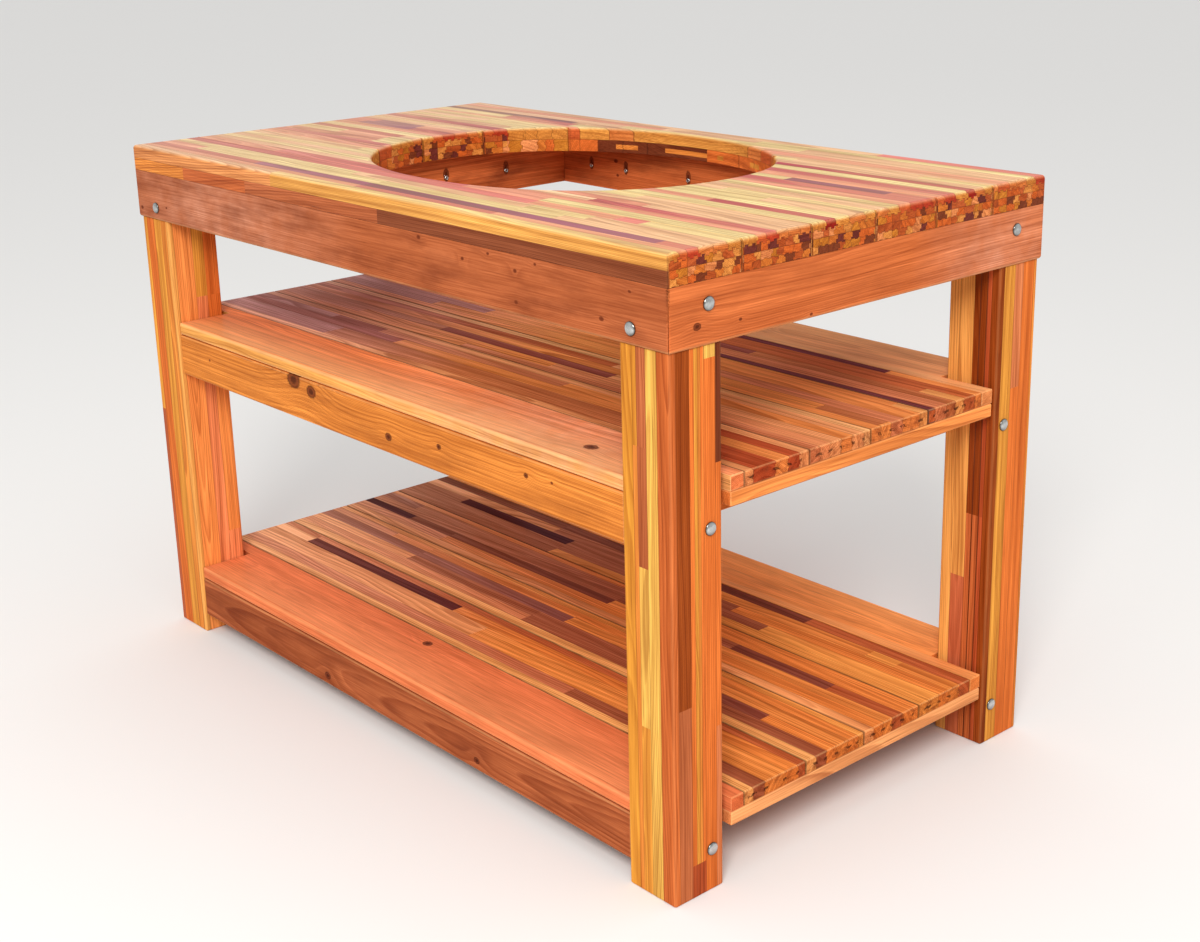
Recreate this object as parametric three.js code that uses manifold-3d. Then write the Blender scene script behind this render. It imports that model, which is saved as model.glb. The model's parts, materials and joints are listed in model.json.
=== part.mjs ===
import * as THREE from 'three';
import { mergeVertices } from 'three/addons/utils/BufferGeometryUtils.js';
import Module from 'manifold-3d';

const wasm = await Module();
wasm.setup();

// Lengths are in millimetres. X runs along the table, Y from the front to the back, Z up.
// The origin is on the floor, under the middle of the table.

// The whole table
const tableLength = 1346;
const topBoardWidth = 126;
const boardsAcross = 6;
const tableDepth = topBoardWidth * boardsAcross;
const tableHeight = 886;

// The top
const topThickness = 42;
const topEdgeRound = 6;
const topCornerRound = 4;
const topJoint = 0.4;

// The oval cut-out for the grill
const cutoutLength = 694;
const cutoutDepth = 568;
const cutoutBackShift = 42;
const cutoutFullness = 2.2;
const cutoutRimRound = 6;

// The apron frame under the top
const apronHeight = 82;
const apronThickness = 24;
const apronBottomRound = 5;
const bearerThickness = 24;
const bearerPlace = 398;
const bearerEase = 1.5;

// The legs
const legSize = 90;
const legSetBack = 4;
const legEase = 4;
const footEase = 3;

// The shelves
const midShelfHeight = 584;
const lowShelfHeight = 126;
const shelfBoardThickness = 22;
const shelfFrontSetBack = 7;
const shelfEndSetBack = 1;
const shelfBoardGap = 1.5;
const shelfBoardEase = 1.2;
const shelfNoseRound = 6;
const shelfEndEase = 2.5;
const notchSideGap = 2;
const notchBackGap = 12;

// The frame under each shelf
const railHeight = 70;
const railThickness = 38;
const railEase = 3;
const battenHeight = 20;
const battenWidth = 38;
const battenEase = 2;

// The carriage bolts with their washers and nuts
const boltDiameter = 7.9;
const boltHeadDiameter = 18.6;
const boltHeadHeight = 4.4;
const boltHeadRim = 1;
const washerDiameter = 20;
const washerThickness = 1.8;
const nutAcrossFlats = 12.7;
const nutHeight = 6.8;
const boltEndBeyondNut = 3;
const boltEndChamfer = 1;
const apronBoltFromEnd = 67;
const frontApronBoltUp = 22;
const endApronBoltUp = 53;
const legBoltFromLegInside = 22;
const legBoltBelowShelf = 63;

// Fits
const restGap = 0.3;
const boltHoleClearance = 0.4;
const cutPast = 20;

// How finely the round parts are divided
const edgeSteps = 3;
const rimSteps = 4;
const cutoutSteps = 80;
const boltSteps = 16;
const domeSteps = 4;
const holeSteps = 16;
const nutSides = 6;
const leastCornerShare = 0.25;
const mergeWithin = 0.00001;

// Sizes that follow from the ones above
const halfLength = tableLength / 2;
const halfDepth = tableDepth / 2;
const topUnderside = tableHeight - topThickness;
const apronBottom = topUnderside - apronHeight;
const legOuterX = halfLength - legSetBack;
const legOuterY = halfDepth - legSetBack;
const legInnerX = legOuterX - legSize;
const legInnerY = legOuterY - legSize;
const legHeadSize = legOuterX - legInnerX - (apronThickness - legSetBack);
const shelfHalfLength = halfLength - shelfEndSetBack;
const shelfHalfDepth = halfDepth - shelfFrontSetBack;
const shelfPitch = 2 * shelfHalfDepth / boardsAcross;
const railInnerY = shelfHalfDepth - railThickness;
const endRailInnerX = legInnerX - railThickness;
const frontBoltX = halfLength - apronBoltFromEnd;
const endBoltY = halfDepth - apronBoltFromEnd;
const frontBoltHeight = apronBottom + frontApronBoltUp;
const endBoltHeight = apronBottom + endApronBoltUp;
const legBoltY = legInnerY + legBoltFromLegInside;

// Colours of the oiled redwood and of the plated steel
const woodColours = {
  pale: 0xe0ab74,
  rose: 0xc97f5c,
  orange: 0xd1763a,
  golden: 0xdd9644,
  red: 0xa84e27,
  apron: 0xb2602f,
};
const steelColour = 0xb9bcbd;

function woodMaterial(colour) {
  return new THREE.MeshStandardMaterial({ color: colour, roughness: 0.42, metalness: 0 });
}

function steelMaterial() {
  return new THREE.MeshStandardMaterial({ color: steelColour, roughness: 0.28, metalness: 1 });
}

// A solid for cutting, from a closed three.js geometry
function solidOf(geometry) {
  const plain = geometry.clone();
  plain.deleteAttribute('normal');
  plain.deleteAttribute('uv');
  const merged = mergeVertices(plain, mergeWithin);
  const mesh = new wasm.Mesh({
    numProp: 3,
    vertProperties: new Float32Array(merged.attributes.position.array),
    triVerts: new Uint32Array(merged.index.array),
  });
  return new wasm.Manifold(mesh);
}

// A three.js geometry with flat facets, from a solid
function geometryOf(solid) {
  const mesh = solid.getMesh();
  const geometry = new THREE.BufferGeometry();
  geometry.setAttribute('position', new THREE.BufferAttribute(new Float32Array(mesh.vertProperties), 3));
  geometry.setIndex(new THREE.BufferAttribute(new Uint32Array(mesh.triVerts), 1));
  const faceted = geometry.toNonIndexed();
  faceted.computeVertexNormals();
  return faceted;
}

// A closed solid through a row of convex rings with the same number of points
function loft(rings) {
  const count = rings[0].length;
  const positions = rings.flat(2);
  const index = [];
  for (let r = 0; r + 1 < rings.length; r += 1) {
    for (let i = 0; i < count; i += 1) {
      const j = (i + 1) % count;
      const a = r * count + i;
      const b = r * count + j;
      const c = (r + 1) * count + j;
      const d = (r + 1) * count + i;
      index.push(a, b, c, a, c, d);
    }
  }
  const last = (rings.length - 1) * count;
  for (let i = 1; i + 1 < count; i += 1) {
    index.push(0, i + 1, i);
    index.push(last, last + i, last + i + 1);
  }
  const geometry = new THREE.BufferGeometry();
  geometry.setAttribute('position', new THREE.BufferAttribute(new Float32Array(positions), 3));
  geometry.setIndex(index);
  return solidOf(geometry);
}

// The outline of a rectangle with four rounded corners, counter-clockwise from the lower left
function roundedOutline(width, height, rounds) {
  const corners = [
    { x: -width / 2, y: -height / 2, dx: 1, dy: 1, from: Math.PI },
    { x: width / 2, y: -height / 2, dx: -1, dy: 1, from: 1.5 * Math.PI },
    { x: width / 2, y: height / 2, dx: -1, dy: -1, from: 0 },
    { x: -width / 2, y: height / 2, dx: 1, dy: -1, from: 0.5 * Math.PI },
  ];
  return corners.flatMap((corner, k) => {
    const round = rounds[k];
    const points = [];
    for (let s = 0; s <= edgeSteps; s += 1) {
      const angle = corner.from + (s / edgeSteps) * 0.5 * Math.PI;
      const x = corner.x + corner.dx * round + round * Math.cos(angle);
      const y = corner.y + corner.dy * round + round * Math.sin(angle);
      points.push([x, y]);
    }
    return points;
  });
}

// A bar along X with rounded long edges and eased ends. Its section lies in Y and Z.
function easedBar(length, width, height, rounds, endEase) {
  const full = roundedOutline(width, height, rounds);
  const small = roundedOutline(width - 2 * endEase, height - 2 * endEase, rounds);
  const ring = (outline, x) => outline.map(([y, z]) => [x, y, z]);
  return loft([
    ring(small, -length / 2),
    ring(full, -length / 2 + endEase),
    ring(full, length / 2 - endEase),
    ring(small, length / 2),
  ]);
}

function even(round) {
  return [round, round, round, round];
}

// A plain block between two corners, used for cutting
function block(low, high) {
  const size = high.map((value, k) => value - low[k]);
  const box = new THREE.BoxGeometry(size[0], size[1], size[2]);
  box.translate(...high.map((value, k) => (value + low[k]) / 2));
  return solidOf(box);
}

// A round hole through a piece, along X or along Y
function boltHole(axis, reach, at) {
  const radius = boltDiameter / 2 + boltHoleClearance;
  const rod = new THREE.CylinderGeometry(radius, radius, reach, holeSteps);
  if (axis === 'x') {
    rod.rotateZ(Math.PI / 2);
  }
  rod.translate(...at);
  return solidOf(rod);
}

const table = new THREE.Group();
table.name = 'kamado_grill_table';

function group(name) {
  const made = new THREE.Group();
  made.name = name;
  table.add(made);
  return made;
}

function place(parent, name, solid, material, position, turn = 0) {
  const mesh = new THREE.Mesh(geometryOf(solid), material);
  mesh.name = name;
  mesh.position.set(...position);
  mesh.rotation.z = turn;
  parent.add(mesh);
  return mesh;
}

// The top, made of six glued-up boards with the oval cut-out through them
const top = group('top');

// The outline of the whole table at one height, drawn in by an inset
function tableRing(z, inset) {
  const round = Math.max(topCornerRound - inset, topCornerRound * leastCornerShare);
  const outline = roundedOutline(tableLength - 2 * inset, tableDepth - 2 * inset, even(round));
  return outline.map(([x, y]) => [x, y, z]);
}

// The quarter round of an edge, as steps up and steps in
function roundedRise(round, steps) {
  const rise = [];
  for (let s = 0; s <= steps; s += 1) {
    const angle = (s / steps) * 0.5 * Math.PI;
    rise.push({ up: round * Math.sin(angle), out: round * (1 - Math.cos(angle)) });
  }
  return rise;
}

const slab = loft([
  tableRing(0, 0),
  ...roundedRise(topEdgeRound, edgeSteps).map(({ up, out }) => (
    tableRing(topThickness - topEdgeRound + up, out))),
]);

function cutoutRing(z, outset) {
  const ring = [];
  for (let s = 0; s < cutoutSteps; s += 1) {
    const angle = (s / cutoutSteps) * 2 * Math.PI;
    const c = Math.cos(angle);
    const d = Math.sin(angle);
    const x = Math.sign(c) * Math.abs(c) ** (2 / cutoutFullness) * (cutoutLength / 2 + outset);
    const y = Math.sign(d) * Math.abs(d) ** (2 / cutoutFullness) * (cutoutDepth / 2 + outset);
    ring.push([x, cutoutBackShift + y, z]);
  }
  return ring;
}

const cutout = loft([
  cutoutRing(-cutPast, 0),
  ...roundedRise(cutoutRimRound, rimSteps).map(({ up, out }) => (
    cutoutRing(topThickness - cutoutRimRound + up, out))),
  cutoutRing(topThickness + cutPast, cutoutRimRound),
]);

const topBoards = [
  { name: 'top_board_1_front', row: 0, side: 0, colour: woodColours.pale },
  { name: 'top_board_2', row: 1, side: 0, colour: woodColours.rose },
  { name: 'top_board_3_left', row: 2, side: -1, colour: woodColours.pale },
  { name: 'top_board_3_right', row: 2, side: 1, colour: woodColours.rose },
  { name: 'top_board_4_left', row: 3, side: -1, colour: woodColours.rose },
  { name: 'top_board_4_right', row: 3, side: 1, colour: woodColours.pale },
  { name: 'top_board_5_left', row: 4, side: -1, colour: woodColours.pale },
  { name: 'top_board_5_right', row: 4, side: 1, colour: woodColours.pale },
  { name: 'top_board_6_back', row: 5, side: 0, colour: woodColours.rose },
];

for (const { name, row, side, colour } of topBoards) {
  const from = -halfDepth + row * topBoardWidth;
  const frontGap = row === 0 ? -cutPast : topJoint / 2;
  const backGap = row === boardsAcross - 1 ? -cutPast : topJoint / 2;
  const lowX = side === 1 ? 0 : -halfLength - cutPast;
  const highX = side === -1 ? 0 : halfLength + cutPast;
  const strip = block(
    [lowX, from + frontGap, -cutPast],
    [highX, from + topBoardWidth - backGap, topThickness + cutPast],
  );
  const board = slab.intersect(strip).subtract(cutout);
  place(top, name, board, woodMaterial(colour), [0, 0, topUnderside]);
}

// The apron, four boards with mitred corners, standing on edge under the rim of the top
const apronFrame = group('apron_frame');

const apronBody = loft([
  ...roundedRise(apronBottomRound, edgeSteps).reverse().map(({ up, out }) => (
    tableRing(apronBottomRound - up, out))),
  tableRing(apronHeight - restGap, 0),
]);
const apronInside = block(
  [-halfLength + apronThickness, -halfDepth + apronThickness, -cutPast],
  [halfLength - apronThickness, halfDepth - apronThickness, apronHeight + cutPast],
);
const apronRim = apronBody.subtract(apronInside);

// The wedge between two mitre lines, for one side of the frame
function mitreWedge(halfAlong, halfAcross) {
  const deep = apronThickness + cutPast;
  const wide = halfAlong + cutPast - restGap;
  const narrow = halfAlong - deep - restGap;
  const outline = [
    [-wide, -halfAcross - cutPast],
    [wide, -halfAcross - cutPast],
    [narrow, -halfAcross + deep],
    [-narrow, -halfAcross + deep],
  ];
  return loft([-cutPast, apronHeight + cutPast].map((z) => outline.map(([x, y]) => [x, y, z])));
}

const frontWedge = mitreWedge(halfLength, halfDepth);
const endWedge = mitreWedge(halfDepth, halfLength).rotate([0, 0, 90]);
const endHoles = [-1, 1].map((side) => (
  boltHole('x', 2 * halfLength + cutPast, [0, side * endBoltY, endApronBoltUp])));
const frontHoles = [-1, 1].map((side) => (
  boltHole('y', 2 * halfDepth + cutPast, [side * frontBoltX, 0, frontApronBoltUp])));
const aprons = [
  { name: 'apron_front', wedge: frontWedge, holes: frontHoles },
  { name: 'apron_back', wedge: frontWedge.rotate([0, 0, 180]), holes: frontHoles },
  { name: 'apron_right', wedge: endWedge, holes: endHoles },
  { name: 'apron_left', wedge: endWedge.rotate([0, 0, 180]), holes: endHoles },
];

for (const { name, wedge, holes } of aprons) {
  let board = apronRim.intersect(wedge);
  for (const hole of holes) {
    board = board.subtract(hole);
  }
  place(apronFrame, name, board, woodMaterial(woodColours.apron), [0, 0, apronBottom]);
}

// The two bearers that cross the frame beside the cut-out
const bearerLength = 2 * (halfDepth - apronThickness - restGap);
for (const side of [-1, 1]) {
  const bearer = easedBar(bearerLength, bearerThickness, apronHeight - restGap, even(bearerEase), bearerEase);
  const name = side < 0 ? 'bearer_left' : 'bearer_right';
  const at = [side * bearerPlace, 0, apronBottom + (apronHeight - restGap) / 2];
  place(apronFrame, name, bearer, woodMaterial(woodColours.apron), at, Math.PI / 2);
}

// The legs, glued-up posts with a rebated head that the aprons are bolted to
const legs = group('legs');
const legHeight = topUnderside - restGap;
const corners = [
  { name: 'front_left', sx: -1, sy: -1, colour: woodColours.golden },
  { name: 'front_right', sx: 1, sy: -1, colour: woodColours.orange },
  { name: 'back_left', sx: -1, sy: 1, colour: woodColours.orange },
  { name: 'back_right', sx: 1, sy: 1, colour: woodColours.golden },
];

function legSolid(sx, sy) {
  const post = easedBar(legHeight, legSize, legSize, even(legEase), footEase).rotate([0, 90, 0]);
  const half = legSize / 2;
  const shoulder = apronBottom - restGap - legHeight / 2;
  const headEdge = legHeadSize - half - restGap;
  const above = legHeight / 2 + cutPast;
  const cutX = sx > 0 ? block([headEdge, -half - cutPast, shoulder], [half + cutPast, half + cutPast, above])
    : block([-half - cutPast, -half - cutPast, shoulder], [-headEdge, half + cutPast, above]);
  const cutY = sy > 0 ? block([-half - cutPast, headEdge, shoulder], [half + cutPast, half + cutPast, above])
    : block([-half - cutPast, -half - cutPast, shoulder], [half + cutPast, -headEdge, above]);
  const centreX = legInnerX + half;
  const centreY = legInnerY + half;
  const reach = legSize + cutPast;
  const holes = [
    boltHole('x', reach, [0, sy * (endBoltY - centreY), endBoltHeight - legHeight / 2]),
    boltHole('y', reach, [sx * (frontBoltX - centreX), 0, frontBoltHeight - legHeight / 2]),
    boltHole('x', reach, [0, sy * (legBoltY - centreY), midShelfHeight - legBoltBelowShelf - legHeight / 2]),
    boltHole('x', reach, [0, sy * (legBoltY - centreY), lowShelfHeight - legBoltBelowShelf - legHeight / 2]),
  ];
  return holes.reduce((leg, hole) => leg.subtract(hole), post.subtract(cutX).subtract(cutY));
}

for (const { name, sx, sy, colour } of corners) {
  const at = [sx * (legInnerX + legSize / 2), sy * (legInnerY + legSize / 2), legHeight / 2];
  place(legs, `leg_${name}`, legSolid(sx, sy), woodMaterial(colour), at);
}

// The two shelves, each of six boards on a frame, with the outer boards notched round the legs
const shelfBoardTones = ['orange', 'red', 'golden'];

function boardTone(row) {
  return woodColours[shelfBoardTones[row % shelfBoardTones.length]];
}

function shelfBoard(row) {
  const width = shelfPitch - shelfBoardGap;
  const front = row === 0 ? shelfNoseRound : shelfBoardEase;
  const back = row === boardsAcross - 1 ? shelfNoseRound : shelfBoardEase;
  const rounds = [front, back, back, front];
  const board = easedBar(2 * shelfHalfLength, width, shelfBoardThickness, rounds, shelfEndEase);
  const outer = row === 0 ? -1 : 1;
  if (row !== 0 && row !== boardsAcross - 1) {
    return board;
  }
  const centreY = outer * (shelfHalfDepth - shelfPitch / 2);
  const notchY = outer * (legInnerY - notchBackGap) - centreY;
  const notchX = legInnerX - notchSideGap;
  const pastY = outer * (shelfPitch / 2 + cutPast);
  const lowY = Math.min(notchY, pastY);
  const highY = Math.max(notchY, pastY);
  const deep = shelfBoardThickness / 2 + cutPast;
  const rightNotch = block([notchX, lowY, -deep], [shelfHalfLength + cutPast, highY, deep]);
  const leftNotch = block([-shelfHalfLength - cutPast, lowY, -deep], [-notchX, highY, deep]);
  return board.subtract(rightNotch).subtract(leftNotch);
}

function makeShelf(key, height) {
  const shelf = group(`${key}_shelf`);
  for (let row = 0; row < boardsAcross; row += 1) {
    const y = -shelfHalfDepth + (row + 0.5) * shelfPitch;
    const at = [0, y, height - shelfBoardThickness / 2];
    place(shelf, `${key}_shelf_board_${row + 1}`, shelfBoard(row), woodMaterial(boardTone(row)), at);
  }
  const underside = height - shelfBoardThickness - restGap;
  const railCentre = underside - railHeight / 2;
  const longRail = easedBar(2 * (legInnerX - restGap), railThickness, railHeight, even(railEase), railEase);
  for (const side of [-1, 1]) {
    const name = side < 0 ? `${key}_rail_front` : `${key}_rail_back`;
    const at = [0, side * (shelfHalfDepth - railThickness / 2), railCentre];
    place(shelf, name, longRail, woodMaterial(side < 0 ? woodColours.golden : woodColours.red), at);
  }
  const endRailLength = 2 * (railInnerY - restGap);
  const boltHeight = height - legBoltBelowShelf - railCentre;
  const reach = railThickness + cutPast;
  let endRail = easedBar(endRailLength, railThickness, railHeight, even(railEase), railEase);
  for (const side of [-1, 1]) {
    endRail = endRail.subtract(boltHole('y', reach, [side * legBoltY, 0, boltHeight]));
  }
  const battenLength = 2 * (legInnerY - notchBackGap);
  const batten = easedBar(battenLength, battenWidth, battenHeight, even(battenEase), battenEase);
  for (const side of [-1, 1]) {
    const hand = side < 0 ? 'left' : 'right';
    const railName = `${key}_end_rail_${hand}`;
    const railAt = [side * (legInnerX - restGap - railThickness / 2), 0, railCentre];
    place(shelf, railName, endRail, woodMaterial(woodColours.orange), railAt, Math.PI / 2);
    const battenName = `${key}_end_batten_${hand}`;
    const battenAt = [side * (shelfHalfLength - battenWidth / 2), 0, underside - battenHeight / 2];
    place(shelf, battenName, batten, woodMaterial(woodColours.golden), battenAt, Math.PI / 2);
  }
}

makeShelf('mid', midShelfHeight);
makeShelf('low', lowShelfHeight);

// A carriage bolt along X with its head at the origin, and its washer and nut at the far end
function boltSolid(grip) {
  const head = boltHeadDiameter / 2;
  const shank = boltDiameter / 2;
  const washerFrom = -(grip + restGap);
  const nutFrom = washerFrom - washerThickness;
  const end = nutFrom - nutHeight - boltEndBeyondNut;
  const profile = [
    new THREE.Vector2(0, end),
    new THREE.Vector2(shank - boltEndChamfer, end),
    new THREE.Vector2(shank, end + boltEndChamfer),
    new THREE.Vector2(shank, nutFrom),
    new THREE.Vector2(washerDiameter / 2, nutFrom),
    new THREE.Vector2(washerDiameter / 2, washerFrom),
    new THREE.Vector2(shank, washerFrom),
    new THREE.Vector2(shank, restGap),
    new THREE.Vector2(head, restGap),
  ];
  for (let s = 0; s <= domeSteps; s += 1) {
    const angle = (s / domeSteps) * 0.5 * Math.PI;
    const up = boltHeadRim + (boltHeadHeight - boltHeadRim) * Math.sin(angle);
    profile.push(new THREE.Vector2(s === domeSteps ? 0 : head * Math.cos(angle), restGap + up));
  }
  const turned = solidOf(new THREE.LatheGeometry(profile, boltSteps));
  const nutRadius = nutAcrossFlats / Math.sqrt(3);
  const nutShape = new THREE.CylinderGeometry(nutRadius, nutRadius, nutHeight, nutSides);
  nutShape.translate(0, nutFrom - nutHeight / 2, 0);
  return turned.add(solidOf(nutShape)).rotate([0, 0, -90]);
}

const bolts = group('bolts');
const apronGrip = apronThickness + legHeadSize;
const legGrip = legSize + railThickness + restGap;
const apronBolt = boltSolid(apronGrip);
const legBolt = boltSolid(legGrip);

for (const { name, sx, sy } of corners) {
  const outwardX = sx > 0 ? 0 : Math.PI;
  const outwardY = sy * Math.PI / 2;
  const onEnd = [sx * halfLength, sy * endBoltY, endBoltHeight];
  const onSide = [sx * frontBoltX, sy * halfDepth, frontBoltHeight];
  const onLeg = (shelfHeight) => [sx * legOuterX, sy * legBoltY, shelfHeight - legBoltBelowShelf];
  const set = [
    { key: 'apron_end', solid: apronBolt, at: onEnd, turn: outwardX },
    { key: 'apron_side', solid: apronBolt, at: onSide, turn: outwardY },
    { key: 'leg_mid', solid: legBolt, at: onLeg(midShelfHeight), turn: outwardX },
    { key: 'leg_low', solid: legBolt, at: onLeg(lowShelfHeight), turn: outwardX },
  ];
  for (const { key, solid, at, turn } of set) {
    place(bolts, `bolt_${key}_${name}`, solid, steelMaterial(), at, turn);
  }
}

export default table;
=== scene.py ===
import json

import bpy
import numpy as np
from mathutils import Matrix, Vector


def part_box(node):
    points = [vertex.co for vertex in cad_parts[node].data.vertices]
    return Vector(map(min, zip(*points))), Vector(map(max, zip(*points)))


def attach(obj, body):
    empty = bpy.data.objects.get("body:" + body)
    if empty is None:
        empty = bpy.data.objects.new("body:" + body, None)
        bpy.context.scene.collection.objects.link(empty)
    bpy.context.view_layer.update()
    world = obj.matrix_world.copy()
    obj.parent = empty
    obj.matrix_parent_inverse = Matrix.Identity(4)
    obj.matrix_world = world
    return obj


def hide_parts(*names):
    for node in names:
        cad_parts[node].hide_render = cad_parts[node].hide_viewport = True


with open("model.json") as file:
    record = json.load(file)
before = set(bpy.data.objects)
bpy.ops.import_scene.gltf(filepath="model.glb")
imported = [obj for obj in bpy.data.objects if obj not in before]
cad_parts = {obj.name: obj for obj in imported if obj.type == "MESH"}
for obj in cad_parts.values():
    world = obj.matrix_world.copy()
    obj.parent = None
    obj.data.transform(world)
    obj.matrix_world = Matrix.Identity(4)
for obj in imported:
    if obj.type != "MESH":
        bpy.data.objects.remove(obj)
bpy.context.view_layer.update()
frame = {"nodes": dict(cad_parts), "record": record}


# Where the table stands
# The table stands on a plain pale floor, lit by one large soft lamp from the right front and by
# a pale room. The eye is at standing height, off the front right corner, as a visitor sees it.
eye = Vector((2.1426, -1.7590, 1.3110))
eye_turn = 138.444
eye_tip = 16.975
eye_roll = -1.209
picture_width = 1200
picture_height = 942
focus_pixels = 1745.3
aim_pixel = (620.8, 410.0)
sensor_width = 36.0


def put_in(name, data):
    """A new object in the scene."""
    thing = bpy.data.objects.new(name, data)
    bpy.context.scene.collection.objects.link(thing)
    return thing


turn, tip, roll = (np.radians(angle) for angle in (eye_turn, eye_tip, eye_roll))
forward = Vector((np.cos(turn) * np.cos(tip), np.sin(turn) * np.cos(tip), -np.sin(tip)))
level_right = Vector((np.sin(turn), -np.cos(turn), 0.0))
level_up = level_right.cross(forward)
right = np.cos(roll) * level_right + np.sin(roll) * level_up
up = np.cos(roll) * level_up - np.sin(roll) * level_right
camera_data = bpy.data.cameras.new("view_camera")
camera_data.sensor_fit = "HORIZONTAL"
camera_data.sensor_width = sensor_width
camera_data.lens = focus_pixels * sensor_width / picture_width
camera_data.shift_x = (picture_width / 2 - aim_pixel[0]) / picture_width
camera_data.shift_y = (aim_pixel[1] - picture_height / 2) / picture_width
camera = put_in("view_camera", camera_data)
camera.matrix_world = Matrix.Translation(eye) @ Matrix((right, up, -forward)).transposed().to_4x4()
bpy.context.scene.camera = camera
bpy.context.scene.view_settings.view_transform = "Standard"


def tree_of(*terms):
    """The node tree that worked-out terms lie in."""
    return next(term.socket.id_data for term in terms if isinstance(term, Reading))


def calc(operation, *terms):
    """One step of arithmetic on numbers."""
    return add(tree_of(*terms), "Math", dict(enumerate(terms)), operation=operation)[0]


def step(operation):
    return lambda *terms: calc(operation, *terms)


class Reading:
    """A value that a shader works out. Each sum or comparison on it adds one Math node."""
    __add__ = step("ADD")
    __sub__ = step("SUBTRACT")
    __mul__ = step("MULTIPLY")
    __truediv__ = step("DIVIDE")
    __pow__ = step("POWER")
    __abs__ = step("ABSOLUTE")
    __gt__ = step("GREATER_THAN")
    __lt__ = step("LESS_THAN")
    at_least = step("MAXIMUM")
    at_most = step("MINIMUM")
    times_plus = step("MULTIPLY_ADD")

    def __init__(self, socket):
        self.socket = socket

    def __rsub__(self, whole):
        return calc("SUBTRACT", whole, self)

    def mapped(self, low, high, start=0.0, finish=1.0, easing="LINEAR"):
        """Start up to the low value, finish from the high value on, and evenly between them."""
        limits = {"Value": self, "From Min": low, "From Max": high, "To Min": start, "To Max": finish}
        return add(tree_of(self), "MapRange", limits, interpolation_type=easing)[0]


class Outputs:
    """What a node gives, each output by its name or number as a reading."""

    def __init__(self, node):
        self.node = node

    def __getitem__(self, key):
        return Reading(self.node.outputs[key])


def feed(node, feeds):
    """Sets the inputs of a node, or links them to what other nodes give."""
    for key, value in dict(feeds).items():
        if isinstance(value, Reading):
            node.id_data.links.new(value.socket, node.inputs[key])
        else:
            node.inputs[key].default_value = value


def add(tree, kind, feeds=(), **settings):
    """Adds a shader node, sets its properties and feeds its inputs."""
    node = tree.nodes.new("ShaderNode" + kind)
    for key, value in settings.items():
        setattr(node, key, value)
    feed(node, feeds)
    return Outputs(node)


def shine(tree, feeds):
    """Ends a material with the Principled shader."""
    surface = add(tree, "BsdfPrincipled", feeds)
    add(tree, "OutputMaterial", {"Surface": surface[0]})


def bare_tree(owner):
    owner.use_nodes = True
    owner.node_tree.nodes.clear()
    return owner.node_tree


def linear(colour):
    """The light that a written colour stands for, from its six hexadecimal digits."""
    shares = np.array([int(colour[k:k + 2], 16) for k in (0, 2, 4)]) / 255
    light = np.where(shares <= 0.04045, shares / 12.92, ((shares + 0.055) / 1.055) ** 2.4)
    return tuple(light) + (1.0,)


room_colour = "f4f3f1"
room_low = 0.63
room_high = 1.00
world = bpy.data.worlds.new("pale_room")
bpy.context.scene.world = world
tree = bare_tree(world)
height = add(tree, "SeparateXYZ", {0: add(tree, "TexCoord")["Generated"]})[2]
strength = height.mapped(0.05, 0.75, room_low, room_high, "SMOOTHSTEP")
backdrop = add(tree, "Background", {"Color": linear(room_colour), "Strength": strength})
add(tree, "OutputWorld", {"Surface": backdrop[0]})

lamp_place = Vector((3.5, -3.7, 3.9))
lamp_aim = Vector((0.0, 0.0, 0.45))
lamp_size = 2.2
lamp_power = 275
lamp_data = bpy.data.lights.new("soft_lamp", "AREA")
lamp_data.shape = "DISK"
lamp_data.size = lamp_size
lamp_data.energy = lamp_power
lamp_data.color = (1.0, 0.965, 0.92)
lamp = put_in("soft_lamp", lamp_data)
lamp_turn = (lamp_aim - lamp_place).to_track_quat("-Z", "Y").to_matrix().to_4x4()
lamp.matrix_world = Matrix.Translation(lamp_place) @ lamp_turn

floor_radius = 40.0
floor_angles = np.linspace(0, 2 * np.pi, 96, endpoint=False)
floor_ring = np.stack([np.cos(floor_angles), np.sin(floor_angles), 0 * floor_angles], 1) * floor_radius
floor_mesh = bpy.data.meshes.new("floor")
floor_mesh.from_pydata(floor_ring.tolist(), [], [list(range(len(floor_ring)))])
floor = put_in("floor", floor_mesh)
paint = bpy.data.materials.new("floor_paint")
tree = bare_tree(paint)
tint = add(tree, "TexNoise", {"Scale": 3.0, "Detail": 4.0})["Fac"].mapped(0.0, 1.0, 0.80, 0.84)
shade = add(tree, "CombineColor", {"Red": tint, "Green": tint, "Blue": tint})[0]
shine(tree, {"Base Color": shade, "Roughness": 0.9})
floor_mesh.materials.append(paint)


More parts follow.
